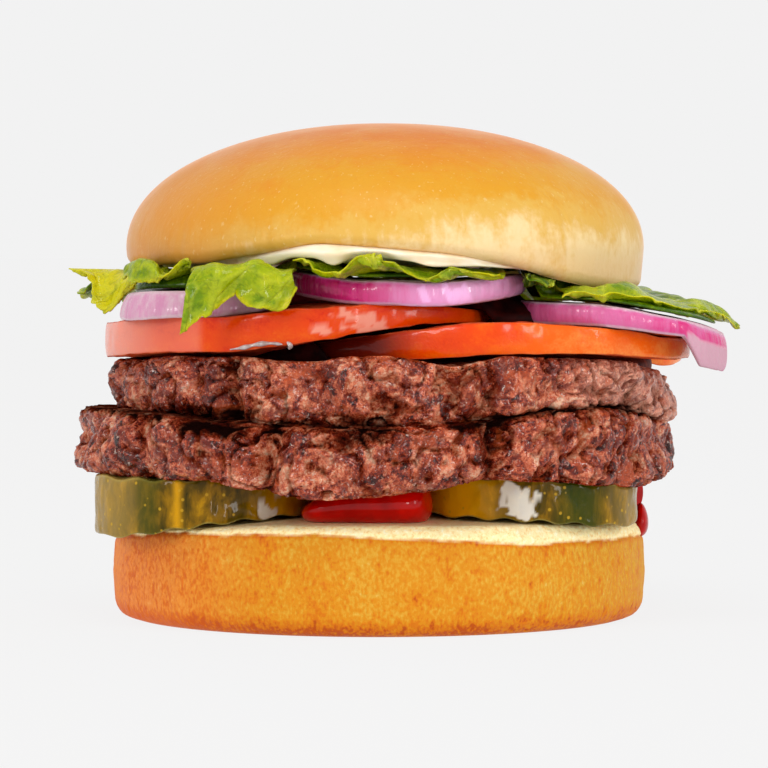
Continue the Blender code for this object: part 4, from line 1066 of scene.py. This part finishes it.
def strand(name, points, radius, look):
    """A round thread along a smooth line, beaded, and thinner at both ends."""
    line = smooth_line(points, 60)
    ahead = unit(np.gradient(line, axis=0))
    across = unit(np.cross(ahead, [0.0, 1.0, 0.0]))
    up = np.cross(across, ahead)
    east, north = on_circle(1.0, turns(14)[:, None])
    taper = np.sqrt(np.sin(np.linspace(0.04, np.pi - 0.04, len(line))))
    thick = radius * taper * (1 + 0.3 * np.sin(line[:, 0] * 2))
    spread = across[:, None] * east + up[:, None] * north
    closed_rings(name, "tomato", np.moveaxis(line[:, None] + thick[:, None, None] * spread, -1, 0), look)


def past_tomato(x, y):
    """0 over the right tomato slice, rising to 1 beyond its rim and right end."""
    cx, cy = TOMATOES["tomato_right"]["centre"]
    beyond = np.hypot(x - cx, y - cy) - TOMATOES["tomato_right"]["radius"]
    return np.clip((beyond - HANG_FROM) / HANG_REACH, 0, 1) * np.clip((x - HANG_SIDE) / HANG_REACH, 0, 1)


def laid_slice(pile, size, columns, rim_steps, edge, power):
    """A round slice laid on the pile: its wanted underside lifted where the pile is higher.

    Returns its points, directions and shares of height and radius.
    """
    cx, cy = size["centre"]
    radius = size["radius"]

    def wanted(x, y):
        """Height of the underside where nothing is in its way: tilted, bent and sagging."""
        past = np.clip(x - size.get("droop_from", FAR), 0, None)
        inward = 1 - np.minimum(np.hypot(x - cx, y - cy) / radius, 1) ** 2
        bend = size.get("bow", 0) * (x - cx) ** 2 - size.get("droop", 0) * past**2
        back = size.get("fall", 0) * (y - cy + radius)
        return size["under"] + size.get("rise", 0) * x + bend - back - size.get("sag", 0) * inward

    def thickness(x):
        """Thickness, less towards the ends that are cut thinner."""
        right = size.get("thin", 0) * np.clip(x - size.get("thin_from", FAR), 0, None)
        left = size.get("slim", 0) * np.clip(size.get("slim_from", -FAR) - x, 0, None)
        return size["thick"] - right - left

    off = np.hypot(pile.x - cx, pile.y - cy)
    bed = pile.bed(wanted, size["reach"], off < radius + 1.0)
    whole, cut, height = rim_profile(np.linspace(0.08, 0.97, 16), rim_steps, power)
    a = turns(columns)
    up = (height + 1) / 2
    r = whole * (radius - size.get("lean", 0) * up) - cut * edge + 0 * a
    x, y = on_circle(r, a, cx, cy)
    end = size.get("hang", 0) * past_tomato(x, y)
    z = pile.read(bed, x, y) + thickness(x) * up - end * (1 - up)
    pile.cover(bed, bed + thickness(pile.x), off < radius + 1.0)
    return x, y, z, r, a, height


def tomato(pile, node, size, look):
    """A tomato slice: a smooth band of skin, and cut faces with faint pulpy relief.

    Each slice's left end, and a ragged patch on the left slice's front, are painted pale pink as reflection,
    and the right one is painted in shade where the left one covers it.
    """
    x, y, z, r, _, height = laid_slice(pile, size, 460, 18, 0.5, 3.0)
    cx, cy = size["centre"]
    face = step_up(np.abs(height), 0.93, 1.0)
    swell = 0.35 * drift(x, y, 0, 9.0, 91) + 0.08 * drift(x, y, z, 2.0, 92)
    grow = 1 + (swell - 0.35) / size["radius"] * step_up(r / size["radius"], 0.6, 0.95)
    x, y = cx + (x - cx) * grow, cy + (y - cy) * grow
    z = z + 0.18 * face * drift(x, y, 0, 2.6, 93) * np.sign(-height)
    warm = 0.08 + 0.12 * step_up(-height, -0.8, 0.9) + 0.56 * step_up(x, 10, 38)
    # Painted reflection: the left end of each slice, where the skin turns away, is made pale pink.
    pale = 0.24 * step_up(-x, 31.5, 33.5) + 0.32 * step_up(-x, 38, 50)
    shade = 0.0
    if node == "tomato_right":
        shade = 0.92 * step_up(10.0 - x, 0.0, 12.0) * step_up(-y, 10.0, 20.0)
    if node == "tomato_left":
        # Painted reflection on the left slice: a ragged pale patch across the front of its skin.
        film = drift(x, 0, 1.6 * z, 3.2, 96) + 0.5 * drift(x, 0, z, 1.1, 97) - 2.2 * ((x + 5.5) / 9.5) ** 4
        pale = np.maximum(pale, 0.62 * step_up(film - 0.5 * height, -0.15, 0.1) * step_up(-y, 30, 36))
    closed_rings(node, "tomato", (x, y, z), look, cut=face, warm=warm, pale=pale, shade=shade)


def juices(pile, look):
    """Dark pads of painted shade that fill the room between the upper patty and the slices, set in from both
    rims.
    """
    whole, cut, height = rim_profile(np.linspace(0.08, 0.97, 16), 12, 2.0)
    a = turns(240)
    side = np.cos(np.radians(a))
    r = whole * (JUICE_FRONT + np.where(side > 0, JUICE_RIGHT, JUICE_LEFT) * side**4) - cut * 2.0
    x, y = on_circle(r, a, UPPER_CENTRE)
    low = upper_top(x, y) - 1.2
    top = np.where(pile.lowest < FAR, pile.lowest + MEET, upper_top(pile.x, pile.y) + MEET)
    high = np.maximum(pile.read(top, x, y), low + 0.3)
    z = between(low, high, height)
    closed_rings("juices", "beef", (x, y, z), look, meaty=step_up(x, 24, 38))


def scrap(pile, name, size, slot, look, **marks):
    """A soft flat pad laid on the pile, thinning to its rim: it fills room that lies in shade."""
    centre, radius, thick = size
    whole, cut, height = rim_profile(np.linspace(0.08, 0.97, 12), 8, 2.0)
    a = turns(150)
    r = whole * radius - cut * 0.5 + 0 * a
    x, y = on_circle(r, a, *centre)
    low = pile.read(pile.bed(nothing, 1), x, y) - CLEAR
    roof = np.where(np.hypot(x - TOP_CENTRE, y) < TOP_RADIUS + 3.0, ceiling(x, y) - 1.0, low + thick)
    high = np.clip(low + thick * (1 - 0.6 * (r / radius) ** 4), low + 0.1, np.maximum(roof, low + 0.1))
    z = between(low, high, height)
    closed_rings(name, slot, (x, y, z), look, **marks)


def onion(pile, node, size, look):
    """An onion slice: skin drawn by upright fibres, and cut faces grooved between its rings.

    The middle slice is painted lighter towards the right, where it lies in shade, with painted upright
    streaks of reflection, and the end of the right one hangs with its cut face showing.
    """
    x, y, z, r, a, height = laid_slice(pile, size, 440, 18, 1.4, 2.4)
    z = z - CLEAR - MEET
    cx, cy = size["centre"]
    face = step_up(np.abs(height), 0.86, 0.97)
    ring = 0.5 - 0.5 * np.cos(2 * np.pi * r / 2.6)
    fibre = drift(a * size["radius"] * np.pi / 180 / 0.8, 0, z * 0.12, 1.0, 95)
    grow = 1 + 0.10 * (fibre - 1) / size["radius"] * (1 - face)
    x, y = cx + (x - cx) * grow, cy + (y - cy) * grow
    z = z - 0.22 * face * step_up(0.25 - ring, 0.0, 0.25) * np.sign(height)
    z = z + 0.12 * fibre * step_up(np.abs(height), 0.7, 0.95) * (1 - face)
    hanging = size.get("hang", 0) * past_tomato(x, y) * step_up(0.35 - height, 0.0, 0.5)
    cut = np.maximum(face, step_up(hanging, 0.2, 1.2))
    pale = np.maximum(step_up(height, 0.7, 0.9), step_up(-height, 0.62, 0.8))
    pale = pale + 0.3 * fibre * step_up(height, 0.2, 0.7)
    bright = 0.0
    # Painted light: the middle slice is made lighter towards its right, where it lies in shade, with painted
    # upright streaks of reflection.
    if node == "onion_middle":
        slant = x + 0.4 * z - 23.5
        gleam = sum(step_up(half - np.abs(slant - at_x), -0.25, 0.25) for at_x, half in ONION_GLEAMS)
        gleam = gleam * step_up(drift(x, 0, z, 1.2, 98) + 1.1 * (0.7 - np.abs(height - 0.1)), -0.1, 0.2)
        bright = 0.5 * step_up(x, -4.0, 12.0) + 0.4 * gleam * step_up(-y, 30, 36)
    first, change, low, high = ONION_PURPLE[node]
    purple = (first + change * step_up(x, low, high)) * (1 - 0.85 * pale)
    closed_rings(node, "onion", (x, y, z), look, cut=cut, ring=np.where(hanging > 0.1, 0.2, ring),
                 bright=bright, purple=purple)


def leaf(pile, node, guides, look):
    """A thin wavy leaf, laid like its solid, with frills, veins and blisters and a thin ragged edge."""
    rows, columns = 84, 150
    seed = 100 + 10 * list(LEAVES).index(node)
    sheet = ruffled(loft(guides, columns, rows))
    x, y = sheet[..., 0], sheet[..., 1]
    floor = pile.read(pile.bed(nothing, 3), x, y) + LEAF_THICK / 2 + LEAF_SPARE
    r, a = polar(x, y)
    room = np.where(r < at(around(MAYO_REACH), a) + 2.0, MAYO_LEAST + 2 * CLEAR, 0.0)
    under_bun = np.hypot(x - TOP_CENTRE, y) < TOP_RADIUS + 3.0
    roof = np.where(under_bun, ceiling(x, y) - CLEAR - room - LEAF_THICK / 2 - LEAF_SPARE, 90.0)
    sheet[..., 2] = np.minimum(np.maximum(sheet[..., 2], floor), roof)
    pile.cover_points(sheet, LEAF_THICK / 2)
    u, v = run(sheet, 1), run(sheet, 0)
    out = np.linspace(0, 1, rows)[:, None]
    away = v[-1] - v
    margin = np.minimum(away, np.minimum(u, u[:, -1:] - u))
    normal = sheet_normals(sheet)
    outward = unit(np.gradient(sheet, axis=0))
    first, second, _ = pebbles(u, v, 0, 4.4, seed)
    net = step_up(0.2 - (second - first), 0.0, 0.2)
    spread = u / 10.0 + 0.35 * drift(u, v, 0, 9.0, seed + 3)
    main = np.exp(-((np.abs(spread - np.rint(spread)) * 10.0) / 0.55) ** 2)
    frill = 0.55 * step_up(5.0 - away, 0.0, 5.0) * drift(u, 0.3 * v, 0, 3.2, seed + 4)
    blister = 0.7 * (1 - first**2) + 0.5 * drift(u, v, 0, 5.0, seed + 5)
    lift = frill + blister * step_up(margin, 0.0, 2.0) + 0.35 * main - 0.3
    ragged = 0.8 * drift(u, 0, 0, 2.4, seed + 6) + 0.4 * drift(u, 0, 0, 0.9, seed + 7)
    sheet = sheet + normal * lift[..., None] + outward * (ragged * out**6)[..., None]
    half = 0.34 * (0.35 + 0.65 * step_up(margin, 0.0, 1.6)) + 0.12 * main
    vein = np.clip(0.9 * main + 0.45 * net, 0, 1)
    tint = LEAF_TINT[node] - 0.25 + 0.25 * step_up(1.2 - away, 0, 1.2)
    leaf_plate(node, sheet, half, look, vein=vein, tint=tint)


def mayonnaise(pile, look):
    """The sauce spread under the upper bun, down to the leaves and slices where it is thick."""
    whole, cut, height = rim_profile((0.12, 0.3, 0.5, 0.65, 0.8, 0.92), 26, 2.2)
    a = turns(420)
    r = whole * at(around(MAYO_REACH), a) - cut * 1.5
    x, y = on_circle(r, a)
    high = ceiling(x, y) + MEET
    bed = pile.read(pile.bed(nothing, 1), x, y) - CLEAR
    low = np.minimum(np.maximum(high - at(around(MAYO_THICK), a), bed), high - MAYO_LEAST)
    z = between(low, high, height)
    fold = 0.5 * drift(x, y, 2.2 * z, 7.0, 97) + 0.25 * np.sin(2.2 * z + 1.5 * drift(x, y, z, 8.0, 98))
    r = r + fold * step_up(whole, 0.9, 1.0) * (1 - np.abs(height) ** 3)
    x, y = on_circle(r, a)
    closed_rings("mayonnaise", "mayonnaise", (x, y, z), look)


def burger():
    """Every layer from the bottom up, on the same pile as the solids."""
    lower_bun(lower_crust_look())
    skin = pickle_look()
    for name, x, y, radius in PICKLES:
        pickle(name, x, y, radius, skin)
    sauce = ketchup_look()
    ketchup(sauce)
    ketchup_drip(sauce)
    beef = beef_look()
    patty("patty_lower", LOWER_CENTRE, LOWER_RADIUS, lower_under, seam_under, LOWER_CLEFTS, 11, 1, beef)
    patty("patty_upper", UPPER_CENTRE, UPPER_RADIUS, seam_over, upper_top, UPPER_CLEFTS, 23, -1, beef)
    pile = Pile(upper_top)
    red = tomato_look()
    for name, size in TOMATOES.items():
        tomato(pile, name, size, red)
    # Dark pads that stand in for the shade under the slices.
    dark = juices_look()
    juices(pile, dark)
    wet = wet_look()
    strand("juice_strand", JUICE_STRAND, STRAND_RADIUS, wet)
    strand("juice_drop", JUICE_DROP, DROP_RADIUS, wet)
    scrap(pile, "juices_inside", JUICES_INSIDE, "beef", dark, meaty=0.0)
    lilac = onion_look()
    for name, size in ONIONS.items():
        onion(pile, name, size, lilac)
    green = lettuce_look()
    for name, size in LEAF_SCRAPS.items():
        scrap(pile, name, size, "lettuce", green, tint=0.0, vein=0.0)
    for name, guides in LEAVES.items():
        leaf(pile, name, guides, green)
    mayonnaise(pile, mayonnaise_look())
    upper_bun(upper_crust_look())


def lamp(name, place, width, tall, power):
    """A soft box that faces the burger."""
    data = bpy.data.lights.new(name, "AREA")
    data.shape = "RECTANGLE"
    data.size = width
    data.size_y = tall
    data.energy = power
    box = bpy.data.objects.new(name, data)
    box.location = place
    way = np.array(AIM) - np.array(place)
    box.rotation_euler = (np.arccos(-way[2] / np.linalg.norm(way)), 0,
                          np.arctan2(way[1], way[0]) - np.pi / 2)
    bpy.context.scene.collection.objects.link(box)


def studio():
    """A pale floor and sky of one brightness, soft lights in front, and the camera of the photograph."""
    scene = bpy.context.scene
    world = bpy.data.worlds.new("pale_studio")
    world.use_nodes = True
    tree = world.node_tree
    height = tree.nodes.new("ShaderNodeSeparateXYZ")
    tree.links.new(tree.nodes.new("ShaderNodeTexCoord").outputs["Generated"], height.inputs[0])
    sky = tree.nodes.new("ShaderNodeValToRGB")
    low, high = sky.color_ramp.elements
    low.position, low.color = 0.35, plain(BACKDROP, BACKDROP, BACKDROP)
    high.position, high.color = 0.9, (0.62, 0.62, 0.62, 1)
    tree.links.new(height.outputs["Z"], sky.inputs["Fac"])
    tree.links.new(sky.outputs["Color"], tree.nodes["Background"].inputs["Color"])
    scene.world = world
    half = 8.0
    mesh = bpy.data.meshes.new("floor")
    mesh.from_pydata([(-half, -half, 0), (half, -half, 0), (half, half, 0), (-half, half, 0)], [],
                     [(0, 1, 2, 3)])
    look = bpy.data.materials.new("pale_floor")
    look.use_nodes = True
    for socket, value in {"Base Color": (0.05, 0.048, 0.048, 1), "Roughness": 1.0, "Specular IOR Level": 0.0,
                          "Emission Color": (1, 1, 1, 1), "Emission Strength": FLOOR_GLOW}.items():
        look.node_tree.nodes["Principled BSDF"].inputs[socket].default_value = value
    mesh.materials.append(look)
    floor = bpy.data.objects.new("floor", mesh)
    scene.collection.objects.link(floor)
    for row in LAMPS:
        lamp(*row)
    data = bpy.data.cameras.new("camera")
    data.lens = LENS
    data.sensor_width = SENSOR
    camera = bpy.data.objects.new("camera", data)
    camera.location = VIEW_FROM
    camera.rotation_euler = (np.radians(90 - VIEW_DOWN), 0, 0)
    scene.collection.objects.link(camera)
    scene.camera = camera
    scene.view_settings.view_transform = "Standard"


burger()
studio()
